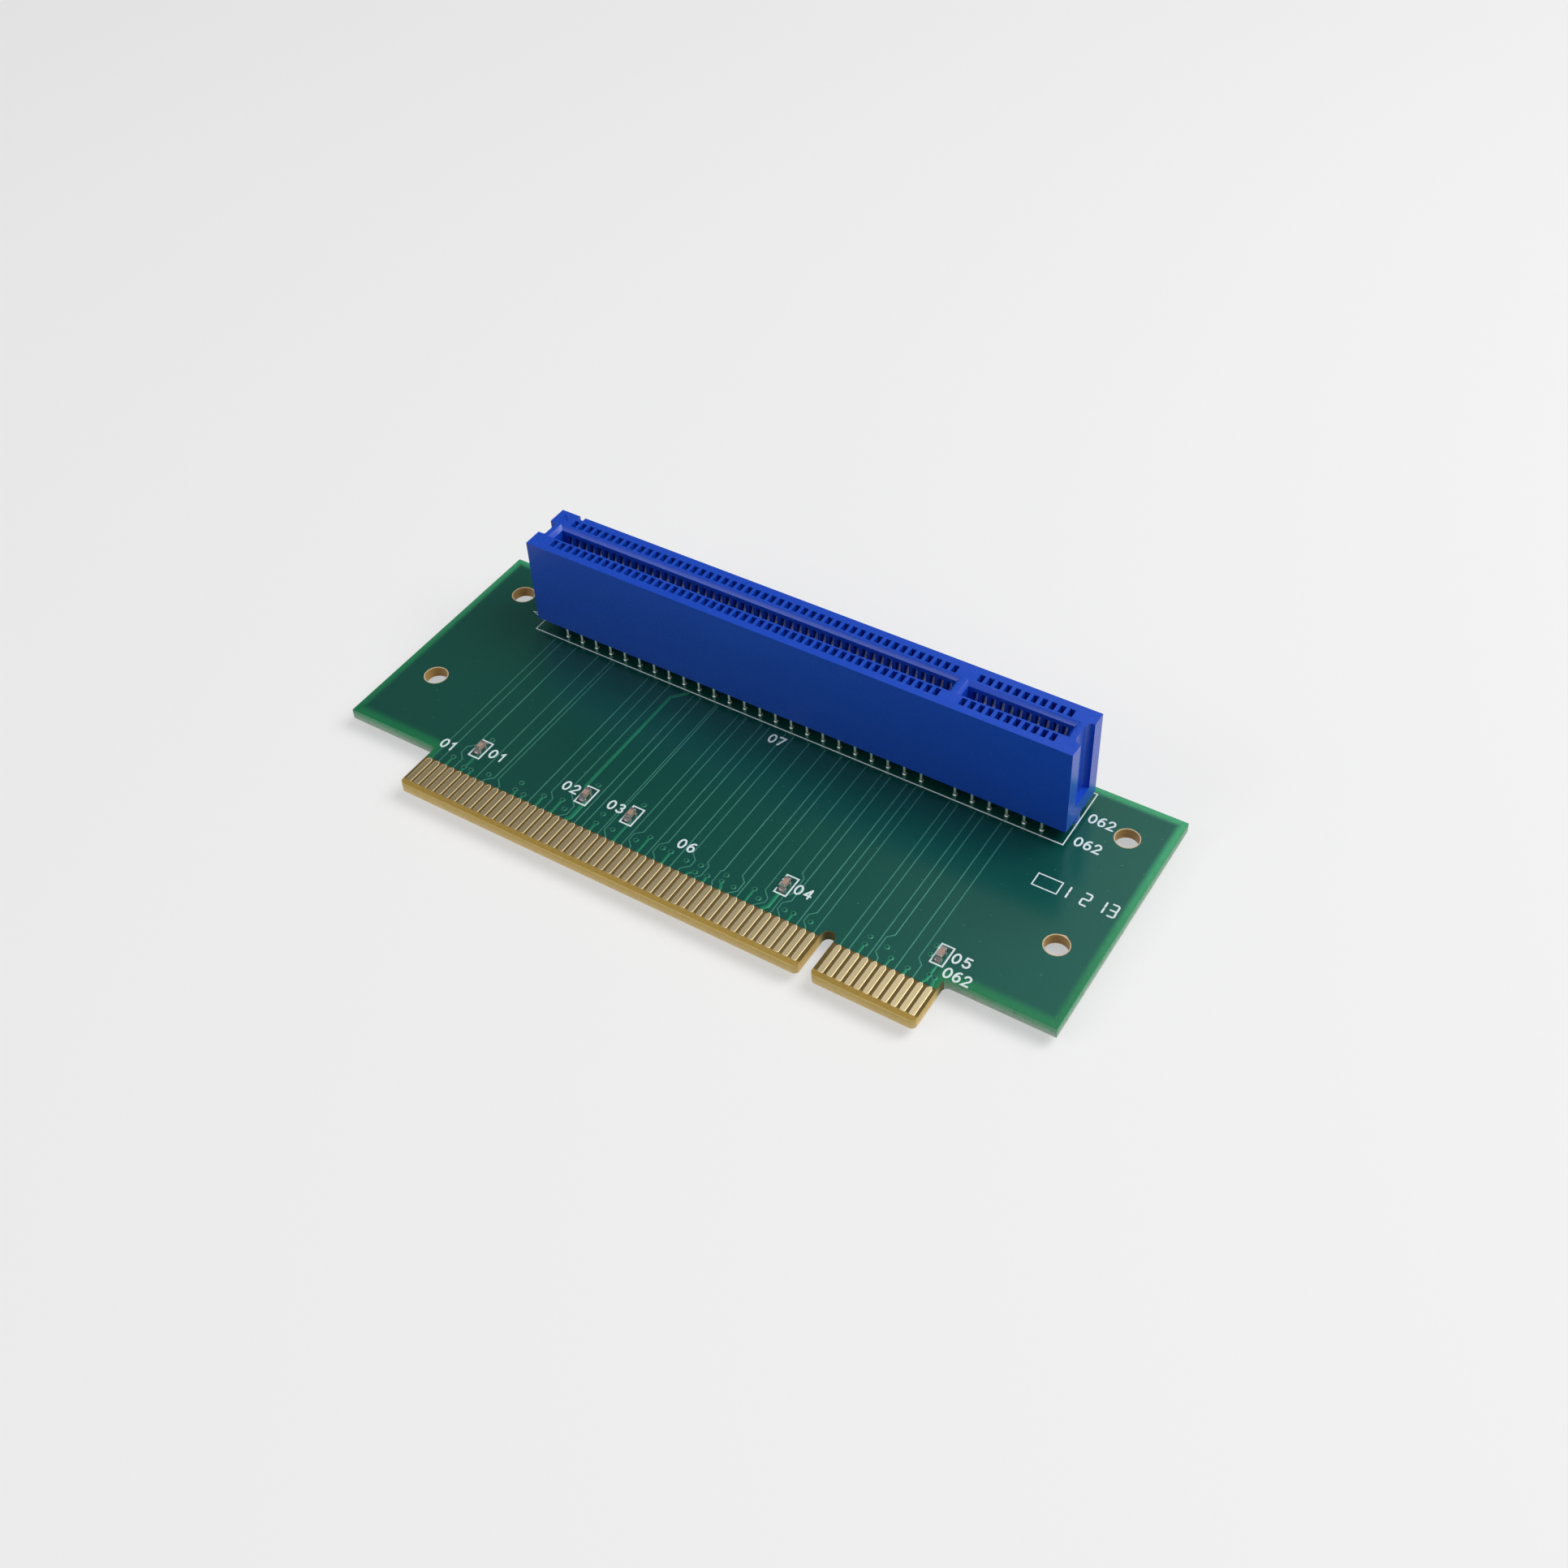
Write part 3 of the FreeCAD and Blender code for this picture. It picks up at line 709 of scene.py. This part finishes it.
# finger: how far its trace steps aside, and where the stretch beside its line starts and ends
DETOURS = {
    4: (-0.95, 2.95, 4.20), 27: (-0.92, 1.30, 2.45), 30: (-0.83, 1.15, 2.60), 33: (0.96, 1.50, 2.60),
    35: (0.50, 0.80, 2.60), 37: (-0.25, 0.60, 2.80), 39: (0.84, 0.95, 2.60), 42: (1.03, 1.15, 1.85),
    44: (0.72, 4.05, 6.95), 45: (-0.83, 1.05, 2.25), 48: (-0.79, 1.05, 2.25), 56: (-0.80, 1.35, 4.00),
    8: (0.96, 1.35, TRACE_END), 10: (-0.93, 1.40, TRACE_END), 16: (-0.92, 3.10, TRACE_END),
    24: (-0.90, 1.05, TRACE_END), 60: (-0.87, 3.15, TRACE_END),
}
WINDING_FINGER = 18
WINDING_ROUTE = ((22.35, 0.85), (22.35, 2.50), (20.05, 4.80), (20.05, TRACE_END))
WIDE_TRACE = ((21.90, 5.80), (21.48, 6.25), (21.48, 26.2), (23.2, TRACE_END))
WIDE_TRACE_WIDTH = 0.52
STUB_FINGERS = (3, 6, 12, 13, 15, 17, 22, 28, 31, 34, 36, 38, 41, 46, 54, 57, 59, 62)
# finger: the line along which its capacitor is fed, and the width of that copper
FEEDS = {5: (5.08, 0.45), 19: (23.15, 0.68), 25: (30.42, 0.45), 43: (53.80, 0.62), 61: (76.50, 0.46)}
FEED_STRAIGHT, FEED_TURN, FEED_END = 0.25, 0.35, 3.6
STUB_STRAIGHT = 0.35
STUB_LENGTH = 1.5  # usual place of a stub's via, back from the fingers' ends
STUB_LEEWAY = 3  # offsets back count a third of those along
BARE_EVERY = 3  # every third finger of the underside has no trace
VIAS = (
    (2.5, 1.7), (5.0, 0.9), (5.1, 6.9), (6.15, 0.95), (8.8, 1.45), (13.65, 2.45), (13.65, 1.0),
    (15.2, 0.85), (17.7, 2.0), (20.3, 2.7), (21.5, 1.45), (22.85, 7.25), (26.5, 3.3), (26.65, 1.55),
    (29.2, 1.65), (30.25, 7.3), (32.95, 1.7), (34.25, 3.05), (36.75, 2.3), (38.05, 2.3), (40.6, 2.05),
    (42.7, 2.25), (42.7, 0.95), (44.4, 1.2), (46.45, 2.55), (46.45, 1.4), (48.3, 1.3), (50.8, 2.4),
    (52.05, 1.3), (55.9, 1.35), (57.15, 1.45), (59.7, 1.35), (67.3, 3.05), (67.3, 1.7), (69.9, 2.65),
    (71.15, 1.4), (73.65, 1.1), (75.0, 5.9), (75.0, 4.35), (76.4, 1.5), (77.2, 1.4),
)


def finger_offset(number):
    """Place of a finger along the artwork."""
    return (number - 1) * PITCH


def stub_path(number):
    """Route from a finger to the via in which its stub ends."""
    along = finger_offset(number)
    via = min(VIAS, key=lambda spot: math.hypot(spot[0] - along, (spot[1] - STUB_LENGTH) / STUB_LEEWAY))
    return [at(along, TRACE_START), at(along, STUB_STRAIGHT), at(*via)]


def feed_path(number, pad):
    """Route from a finger to the line of its capacitor, aside at 45 degrees."""
    along = finger_offset(number)
    turned = FEED_TURN + abs(pad - along)
    return [at(along, TRACE_START), at(along, FEED_STRAIGHT), at(pad, turned), at(pad, FEED_END)]


def detour_path(number):
    """Route of a trace that steps aside at 45 degrees, and back again if it can."""
    along = finger_offset(number)
    aside, start, end = DETOURS[number]
    lead = abs(aside)
    turn = max(start - lead, TRACE_START + SHORTEST_LEAD)
    path = [at(along, TRACE_START), at(along, turn), at(along + aside, start), at(along + aside, end)]
    if end < TRACE_END:
        path += [at(along, end + lead), at(along, TRACE_END)]
    return path


def add_traces():
    """Traces of the top face in one piece, and the wider stubs and feeds in another."""
    thin, wide = Builder(), Builder()
    z = MASK_TOP - SUNK
    routes = [[at(finger_offset(n), back) for back in (TRACE_START, TRACE_END)] for n in STRAIGHT_TRACES]
    routes += [detour_path(number) for number in DETOURS]
    start = finger_offset(WINDING_FINGER)
    lead = [at(start, TRACE_START), at(start, TRACE_START + SHORTEST_LEAD)]
    routes.append(lead + [at(*point) for point in WINDING_ROUTE])
    for route in routes:
        add_stroke(thin, route, TRACE_WIDTH, z, TRACE_RISE, TRACE_SLOPE)
    broad = [(stub_path(number), STUB_WIDTH) for number in STUB_FINGERS]
    broad += [(feed_path(number, pad), width) for number, (pad, width) in FEEDS.items()]
    broad.append(([at(*point) for point in WIDE_TRACE], WIDE_TRACE_WIDTH))
    for route, width in broad:
        add_stroke(wide, route, width, z, STUB_RISE, TRACE_SLOPE)
    thin.piece("traces_top", TRACE_MASK, "solder_mask")
    wide.piece("wide_traces_top", WIDE_MASK, "solder_mask")


def add_underside_traces():
    """Straight traces from the underside's fingers to the inner and outer tails."""
    builder = Builder()
    for number in NUMBERS:
        if number % BARE_EVERY == 0:
            continue
        x = contact_x(number)
        end = SLOT_Y - (OUTER_TAIL if number % 2 == 0 else INNER_TAIL)
        path = [(x, FINGER_BACK_Y + TRACE_START), (x, end)]
        add_stroke(builder, path, TRACE_WIDTH, MASK_BOTTOM + SUNK, -TRACE_RISE, TRACE_SLOPE)
    builder.piece("traces_underside", TRACE_MASK, "solder_mask")


# profiles of (radius, height)
RING_PROFILE = ((0.42, 0.0), (0.37, 0.026), (0.26, 0.030), (0.15, 0.020))
PLUG_PROFILE = ((0.18, 0.010), (0.16, 0.027), (0.08, 0.023), (0.01, 0.022))
RING_LIFT, PLUG_LIFT = 0.004, 0.006


def add_vias():
    """Masked vias on both faces: a raised ring round a sunk, darker plug."""
    rings, plugs = Builder(), Builder()
    kinds = ((rings, lathe(RING_PROFILE, 16), RING_LIFT), (plugs, lathe(PLUG_PROFILE, 12), PLUG_LIFT))
    for via in VIAS:
        x, y = at(*via)
        for builder, shape, lift in kinds:
            builder.add(*shape, shift=(x, y, MASK_TOP - SUNK + lift))
            builder.add(*flipped(shape), shift=(x, y, MASK_BOTTOM + SUNK - lift))
    rings.piece("via_rings", VIA_MASK, "solder_mask", ROUND_LIMIT)
    plugs.piece("via_plugs", PLUG_MASK, "solder_mask", ROUND_LIMIT)


# ---- printed legend
INK_RISE = 0.042
INK_SLOPE = 0.02
INK_LINE = 0.19
FRAME_LINE = 0.24
DIGIT_LINE = 0.29
DIGIT_HEIGHT = 1.45
DIGIT_WIDTH = 0.86
DIGIT_STEP = 1.45
CLOSE_STEP = 1.30
PRINT_SHIFT = 0.12  # the print sits this far to the right of the copper

# strokes of the plain numerals in a box one unit wide and one high
NUMERALS = {
    "0": [arc((0.5, 0.5), (0.5, 0.5), 90, 450, 20)],
    "1": [[(0.22, 0.78), (0.60, 1.0), (0.60, 0.0)]],
    "2": [arc((0.5, 0.71), (0.46, 0.29), 165, -30, 10) + [(0.02, 0.0), (1.0, 0.0)]],
    "3": [arc((0.46, 0.76), (0.42, 0.24), 150, -85, 9), arc((0.46, 0.26), (0.50, 0.26), 85, -150, 10)],
    "4": [[(0.72, 1.0), (0.0, 0.30), (1.0, 0.30)], [(0.72, 0.0), (0.72, 1.0)]],
    "5": [[(0.90, 1.0), (0.15, 1.0), (0.08, 0.58)] + arc((0.48, 0.32), (0.50, 0.32), 125, -145, 12)],
    "6": [arc((0.70, 0.36), (0.66, 0.64), 80, 178, 7), arc((0.52, 0.31), (0.46, 0.31), 170, -190, 18)],
    "7": [[(0.0, 1.0), (0.98, 1.0), (0.36, 0.0)]],
}


def ink(builder, points, width):
    """One printed line, through points of the artwork."""
    route = [at(along + PRINT_SHIFT, back) for along, back in points]
    add_stroke(builder, route, width, MASK_TOP - SUNK, INK_RISE, INK_SLOPE)


def add_number(builder, text, along, back, step):
    """Plain number whose lower left corner stands at a place of the artwork."""
    for index, digit in enumerate(text):
        left = along + index * step
        for stroke in NUMERALS[digit]:
            points = [(left + u * DIGIT_WIDTH, back + v * DIGIT_HEIGHT) for u, v in stroke]
            ink(builder, points, DIGIT_LINE)


def add_frame(builder, left, right, front, back, width=INK_LINE):
    """Printed rectangle, drawn as one closed line from the middle of its front side."""
    start = ((left + right) / 2, front)
    ink(builder, [start, (right, front), (right, back), (left, back), (left, front), start], width)


# shares of the height that are printed of the broken frame's left side
FRONT_SHARE, BACK_SHARE = 0.22, 0.14
DASH_SHARES = (0.42, 0.58)
CRUMB_SHARES = (0.70, 0.78)
CRUMB_OFFSETS = (-0.05, 0.1)


def add_broken_frame(builder, left, right, front, back, width):
    """Rectangle whose left side was printed with gaps."""
    reach = back - front
    ends = (left, front + FRONT_SHARE * reach), (left, back - BACK_SHARE * reach)
    ink(builder, [ends[0], (left, front), (right, front), (right, back), (left, back), ends[1]], width)
    ink(builder, [(left, front + share * reach) for share in DASH_SHARES], width)
    crumb = [(left + aside, front + share * reach) for aside, share in zip(CRUMB_OFFSETS, CRUMB_SHARES)]
    ink(builder, crumb, width)


SEGMENT_ENDS = {
    "a": ((0, 2), (1, 2)), "b": ((1, 2), (1, 1)), "c": ((1, 1), (1, 0)), "d": ((0, 0), (1, 0)),
    "e": ((0, 0), (0, 1)), "f": ((0, 1), (0, 2)), "g": ((0, 1), (1, 1)),
}
SEGMENTS = {"1": "bc", "2": "abged", "3": "abgcd"}
SEGMENT_WIDTH = 0.98
SEGMENT_HEIGHT = 1.02
SEGMENT_TRIM = 0.15
SEGMENT_LINE = 0.27


def add_segment_digit(builder, digit, along, back):
    """Numeral of straight bars, each stopped short of its neighbours."""
    for name in SEGMENTS[digit]:
        start, end = (Vector(point) for point in SEGMENT_ENDS[name])
        near, far = start.lerp(end, SEGMENT_TRIM), start.lerp(end, 1 - SEGMENT_TRIM)
        bar = [(along + p.x * SEGMENT_WIDTH, back + p.y * SEGMENT_HEIGHT) for p in (near, far)]
        ink(builder, bar, SEGMENT_LINE)


# left, right, front and back of the slot's outline and of the maker's empty box
SLOT_FRAME = (-3.95, 80.85, 28.5, 38.8)
EMPTY_BOX = (80.4, 83.8, 20.6, 22.7)
FIRST_CONTACT_MARK = ((-4.1, 32.0), (-6.6, 31.35), (-4.1, 30.6))
# middle of each capacitor's printed frame, along and back
FRAME_PLACES = ((4.74, 4.70), (22.53, 4.87), (29.92, 4.90), (53.87, 4.87), (76.24, 4.90))
FRAME_HALF = (0.86, 1.60)
BROKEN_FRAME = 3
# number, its lower left corner along and back, and the step from digit to digit
NUMBER_PLACES = (
    ("01", -0.77, 2.50, CLOSE_STEP), ("01", 6.38, 4.12, DIGIT_STEP), ("02", 18.70, 4.37, DIGIT_STEP),
    ("03", 26.00, 4.50, DIGIT_STEP), ("04", 55.20, 4.30, DIGIT_STEP), ("05", 77.60, 4.57, DIGIT_STEP),
    ("06", 38.00, 3.43, DIGIT_STEP), ("07", 37.75, 25.65, CLOSE_STEP),
    ("062", 81.80, 33.80, CLOSE_STEP), ("062", 81.95, 29.25, CLOSE_STEP),
    ("062", 77.70, 2.10, CLOSE_STEP),
)
SEGMENT_PLACES = (("1", 84.05), ("2", 86.95), ("1", 89.0), ("3", 90.65))
SEGMENT_BACK = 20.62


def add_legend():
    """Outlines of the slot and the capacitors, an empty box and plain numbers."""
    builder = Builder()
    half_x, half_y = FRAME_HALF
    add_frame(builder, *SLOT_FRAME)
    ink(builder, FIRST_CONTACT_MARK, INK_LINE)
    for index, (along, back) in enumerate(FRAME_PLACES):
        draw = add_broken_frame if index == BROKEN_FRAME else add_frame
        draw(builder, along - half_x, along + half_x, back - half_y, back + half_y, FRAME_LINE)
    for text, along, back, step in NUMBER_PLACES:
        add_number(builder, text, along, back, step)
    add_frame(builder, *EMPTY_BOX)
    for digit, along in SEGMENT_PLACES:
        add_segment_digit(builder, digit, along, SEGMENT_BACK)
    builder.piece("printed_legend", INK, "solder_mask")


# ---- edge fingers
FINGER_TIP = 0.42
FINGER_NECK = 0.36
FINGER_CORNER = 0.20
FINGER_RIM = 0.10  # width of the worn band along the edges
# how far each level is moved in, and the share of the thickness at which it lies
FINGER_LEVELS = ((0.0, -0.2), (0.0, 0.62), (FINGER_RIM, 1.0))


def finger_outline(shrink):
    """Outline of one finger about its middle line, anticlockwise, moved in all round."""
    half, neck = FINGER_WIDTH / 2 - shrink, FINGER_NECK / 2 - shrink
    front, back = FINGER_FRONT_Y + shrink, FINGER_BACK_Y
    corner = FINGER_CORNER
    outline = arc((-half + corner, front + corner), (corner, corner), 180, 270, 5)
    outline += arc((half - corner, front + corner), (corner, corner), 270, 360, 5)
    outline += [(half, back - FINGER_TIP), (neck, back), (-neck, back), (-half, back - FINGER_TIP)]
    return outline


def finger_shape(foot, face):
    """One plated finger: a plate whose rim rolls over to its face."""
    rise = face - foot
    loops = [
        [(x, y, foot + rise * share) for x, y in finger_outline(shrink)]
        for shrink, share in FINGER_LEVELS
    ]
    count = len(loops[0])
    faces = [tuple(range(count))[::-1]]
    for level in range(len(loops) - 1):
        faces += band(level * count, (level + 1) * count, count)
    last = (len(loops) - 1) * count
    faces.append(tuple(range(last, last + count)))
    if rise < 0:
        faces = [corners[::-1] for corners in faces]
    return sum(loops, []), faces


def add_fingers(name, node, foot, face):
    """All plated fingers of one side of the tab."""
    shape = finger_shape(foot, face)
    builder = Builder()
    for number in NUMBERS:
        builder.add(*shape, shift=(contact_x(number), 0.0, 0.0))
    builder.piece(name, GOLD, "gold_plating", FINGER_LIMIT, (node,))


# ---- solder
# profiles of (radius, height)
COLLAR_PROFILE = ((0.33, 0.0), (0.31, 0.04), (0.27, 0.07), (0.23, 0.10), (0.20, 0.15))
CONE_PROFILE = (
    (0.68, 0.0), (0.66, 0.10), (0.52, 0.24), (0.38, 0.52),
    (0.29, 0.88), (0.22, 1.06), (0.10, 1.14), (0.01, 1.16),
)


def add_tail_solder():
    """Low collars round the tails on the top face and full cones on the underside."""
    collar, cone = lathe(COLLAR_PROFILE, 14), flipped(lathe(CONE_PROFILE, 14))
    collars, cones = Builder(), Builder()
    for x, y in TAILS:
        collars.add(*collar, shift=(x, y, TOP_Z - SUNK))
        cones.add(*cone, shift=(x, y, BOTTOM_Z + SUNK))
    collars.piece("tail_solder_top", SOLDER, "solder", SOLDER_LIMIT)
    cones.piece("tail_solder_underside", SOLDER, "solder", SOLDER_LIMIT)


FILLET_STEPS = 8
FILLET_HOLLOW = 2.2  # power by which a fillet falls away from the face that it climbs
SIDE_DROP = 0.55  # share of the height lost at its sides
OUTER_TAPER = 0.18  # share of the width lost at its outer end
PAD_THICKNESS = 0.05
PAD_REACH = 0.38  # how far a pad runs in under its end cap


def fillet_shape(width, reach, height, foot):
    """Concave solder fillet that climbs a vertical face at y = 0 and runs out along -Y."""
    vertices, faces = [], []
    for i in range(FILLET_STEPS + 1):
        out = i / FILLET_STEPS
        for j in range(FILLET_STEPS + 1):
            across = 2 * j / FILLET_STEPS - 1
            crown = 1 - SIDE_DROP * abs(across) ** 3
            x = across * width / 2 * (1 - OUTER_TAPER * out ** 3)
            z = foot + (height - foot) * crown * (1 - out) ** FILLET_HOLLOW
            vertices.append((x, -out * reach, z))
    row = FILLET_STEPS + 1
    for i in range(FILLET_STEPS):
        for j in range(FILLET_STEPS):
            a = i * row + j
            faces.append((a, a + row, a + row + 1, a + 1))
    top = len(vertices)
    rim = list(range(row)) + [i * row + FILLET_STEPS for i in range(1, row)]
    rim += [FILLET_STEPS * row + j for j in range(FILLET_STEPS - 1, -1, -1)]
    rim += [i * row for i in range(FILLET_STEPS - 1, 0, -1)]
    for index in rim:
        x, y, _ = vertices[index]
        vertices.append((x, y, 0.0))
    count = len(rim)
    for k in range(count):
        following = (k + 1) % count
        faces.append((rim[k], rim[following], top + following, top + k))
    faces.append(tuple(range(top, top + count)))
    return vertices, faces


def add_capacitor_solder(index):
    """Pads and fillets at both ends of one capacitor."""
    low, high = box_mm(f"capacitor_{index}_solder")
    body_low, body_high = box_mm(f"capacitor_{index}_ends")
    middle_x, half = (low.x + high.x) / 2, (high.x - low.x) / 2
    reach = body_low.y - low.y
    vertices, faces = fillet_shape(high.x - low.x, reach, high.z - TOP_Z, PAD_THICKNESS)
    builder = Builder()
    builder.add(vertices, faces, shift=(middle_x, body_low.y, TOP_Z))
    turned = [(-x, -y, z) for x, y, z in vertices]
    builder.add(turned, faces, shift=(middle_x, body_high.y, TOP_Z))
    for start, end in ((body_low.y, body_low.y + PAD_REACH), (body_high.y - PAD_REACH, body_high.y)):
        corners = [(-half, start), (half, start), (half, end), (-half, end)]
        pad = [(x, y, z) for z in (0.0, PAD_THICKNESS) for x, y in corners]
        sides = band(0, 4, 4) + [(3, 2, 1, 0), (4, 5, 6, 7)]
        builder.add(pad, sides, shift=(middle_x, 0.0, TOP_Z))
    replaced = (f"capacitor_{index}_solder",)
    builder.piece(f"chip_{index}_solder", CHIP_SOLDER, "solder", CHIP_SOLDER_LIMIT, replaced)


# ---- putting the card together
SLOT_MARGIN = 1.0  # how far the small holes may lie before or behind the housing


def away_from_slot(middle):
    """True on the board's outline and mounting holes, false on the small holes by the slot."""
    under_slot = HOUSING_LOW.y - SLOT_MARGIN < middle.y < HOUSING_HIGH.y + SLOT_MARGIN
    return abs(middle.x) >= HOUSING_HIGH.x or not under_slot


add_softened("circuit_board", "laminate_board", LAMINATE, SOFT_BOARD_EDGE, away_from_slot)
add_softened("slot_housing", "moulded_housing", PLASTIC)
for row in ("front_outer", "front_inner", "back_inner", "back_outer"):
    add_softened(f"contacts_{row}", f"spring_contacts_{row}", TIN)
for number in CAPACITORS:
    node, name = f"capacitor_{number}", f"chip_{number}"
    add_softened(node, f"{name}_ceramic", CERAMIC)
    add_softened(f"{node}_ends", f"{name}_end_caps", END_CAP, SOFT_END_CAP_EDGE)
    add_capacitor_solder(number)
add_mask()
add_traces()
add_underside_traces()
add_vias()
add_legend()
add_fingers("gold_fingers_front", "edge_fingers_front", TOP_Z, FINGERS_HIGH.z)
add_fingers("gold_fingers_back", "edge_fingers_back", BOTTOM_Z, box_mm("edge_fingers_back")[0].z)
add_tail_solder()


# ---- floor, lights and camera
def seen(tree):
    """1 for rays that look at the surroundings, straight or by reflection, 0 for soft light."""
    path = tree.nodes.new("ShaderNodeLightPath")
    looks = calc("MAXIMUM", path.outputs["Is Camera Ray"], path.outputs["Is Glossy Ray"])
    return calc("MAXIMUM", looks, path.outputs["Is Transmission Ray"])


FLOOR_HALF = 3000.0
FLOOR_LIFT = 0.5  # share of the floor's own white in what is seen of it near the card
FLOOR_FAR_LIFT = 0.98  # and far away, where the lamps don't reach
FLOOR_REACH = (350.0, 1600.0)
FLOOR_DROP = 0.05  # keeps the floor clear of the tails' tips
FLOOR_TONES = ((0.80, 0.80, 0.80, 1.0), (0.84, 0.84, 0.84, 1.0))
FLOOR_GLOW = (0.97, 0.97, 0.97, 1.0)


def add_floor():
    """Wide pale floor just under the contact tails, bright but still taking the shadow."""
    material, tree, shader = new_material("pale_floor")
    vector, (x, y, _) = place(tree)
    tone = noise(vector, 0.004, 2.0)
    squares = calc("MULTIPLY_ADD", x, x, calc("MULTIPLY", y, y))
    lift = ramp(calc("SQRT", squares), *FLOOR_REACH, FLOOR_LIFT, FLOOR_FAR_LIFT)
    base = blend_colour(tone, *FLOOR_TONES)
    feed(shader, {"Base Color": base, "Roughness": 0.8, "Specular IOR Level": 0.2})
    glow = tree.nodes.new("ShaderNodeEmission")
    feed(glow, {"Color": FLOOR_GLOW})
    mixed = tree.nodes.new("ShaderNodeMixShader")
    share = calc("MULTIPLY", seen(tree), lift)
    feed(mixed, {0: share, 1: shader.outputs[0], 2: glow.outputs[0]})
    feed(tree.nodes["Material Output"], {"Surface": mixed.outputs[0]})
    mesh = bpy.data.meshes.new("floor")
    half = FLOOR_HALF * MM
    corners = [(-half, -half, 0), (half, -half, 0), (half, half, 0), (-half, half, 0)]
    mesh.from_pydata(corners, [], [(0, 1, 2, 3)])
    mesh.materials.append(material)
    floor = new_object("floor", mesh)
    floor.location.z = -FLOOR_DROP * MM


# parts of the mirrored direction between which the studio's brightness changes
DIM_LEFT, DIM_UP, DIM_BACK = (-0.42, -0.18), (0.25, 0.55), (0.48, 0.54)
DIM_SHARES = (0.82, 0.93)  # light taken away high on the left, before DIM_BACK and behind it
PATCH_LEFT, PATCH_BACK = (-0.52, -0.45), (0.505, 0.525)
PATCH_LIGHT = 0.12  # light given back before PATCH_BACK and right of PATCH_LEFT
SOFT_LIGHT = 0.25  # strength of the backdrop as a lamp


def add_world():
    """White backdrop; glossy faces see a white studio that is dim high on the left."""
    world = bpy.data.worlds.new("studio")
    bpy.context.scene.world = world
    world.use_nodes = True
    tree = world.node_tree
    x, y, z = parts(tree.nodes.new("ShaderNodeTexCoord").outputs["Generated"])
    leftward = ramp(x, *DIM_LEFT, 1.0, 0.0)
    upward = ramp(z, *DIM_UP)
    backward = ramp(y, *DIM_BACK, *DIM_SHARES)
    dimming = calc("MULTIPLY", calc("MULTIPLY", leftward, upward), backward)
    in_front = ramp(y, *PATCH_BACK, 1.0, 0.0)
    patch = calc("MULTIPLY", in_front, ramp(x, *PATCH_LEFT, 0.0, PATCH_LIGHT))
    level = calc("ADD", calc("SUBTRACT", 1.0, dimming), patch)
    level = calc("MINIMUM", level, 1.0)
    soft_or_mirrored = blend_value(seen(tree), SOFT_LIGHT, level)
    straight = tree.nodes.new("ShaderNodeLightPath").outputs["Is Camera Ray"]
    strength = blend_value(straight, soft_or_mirrored, 1.0)
    feed(tree.nodes["Background"], {"Strength": strength, "Color": (1.0, 1.0, 1.0, 1.0)})


# name, place and side in metres, power in watts
SOFTBOXES = (
    ("overhead_box", (0.40, 0.24, 0.65), 0.50, 5.0),
    ("front_box", (-0.40, -0.50, 0.48), 0.31, 0.9),
)


def add_softbox(name, spot, size, power):
    """Square soft box, in metres, turned towards the card."""
    light = bpy.data.lights.new(name, "AREA")
    light.size = size
    light.energy = power
    lamp = new_object(name, light)
    lamp.location = spot
    lamp.rotation_euler = (-Vector(spot)).to_track_quat("-Z", "Y").to_euler()


CAMERA_SPOT = (106.35, -144.49, 186.86)
CAMERA_AZIMUTH = 33.57  # turn to the left from looking along +Y, degrees
CAMERA_ELEVATION = 43.85
CAMERA_ROLL = -2.59
CAMERA_LENS = 44.18
CAMERA_SENSOR = 36.0
CAMERA_SHIFT = (-0.0108, -0.0433)


def add_camera():
    """Camera as solved from the photograph."""
    data = bpy.data.cameras.new("camera")
    data.sensor_width = CAMERA_SENSOR
    data.lens = CAMERA_LENS
    data.shift_x, data.shift_y = CAMERA_SHIFT
    data.clip_start = 1 * MM
    camera = new_object("camera", data)
    turn = (
        Matrix.Rotation(math.radians(CAMERA_AZIMUTH), 3, "Z")
        @ Matrix.Rotation(math.radians(90 - CAMERA_ELEVATION), 3, "X")
        @ Matrix.Rotation(math.radians(CAMERA_ROLL), 3, "Z")
    )
    camera.rotation_euler = turn.to_euler()
    camera.location = Vector(CAMERA_SPOT) * MM
    bpy.context.scene.camera = camera


add_floor()
add_world()
for softbox in SOFTBOXES:
    add_softbox(*softbox)
add_camera()
bpy.context.scene.view_settings.view_transform = "Standard"
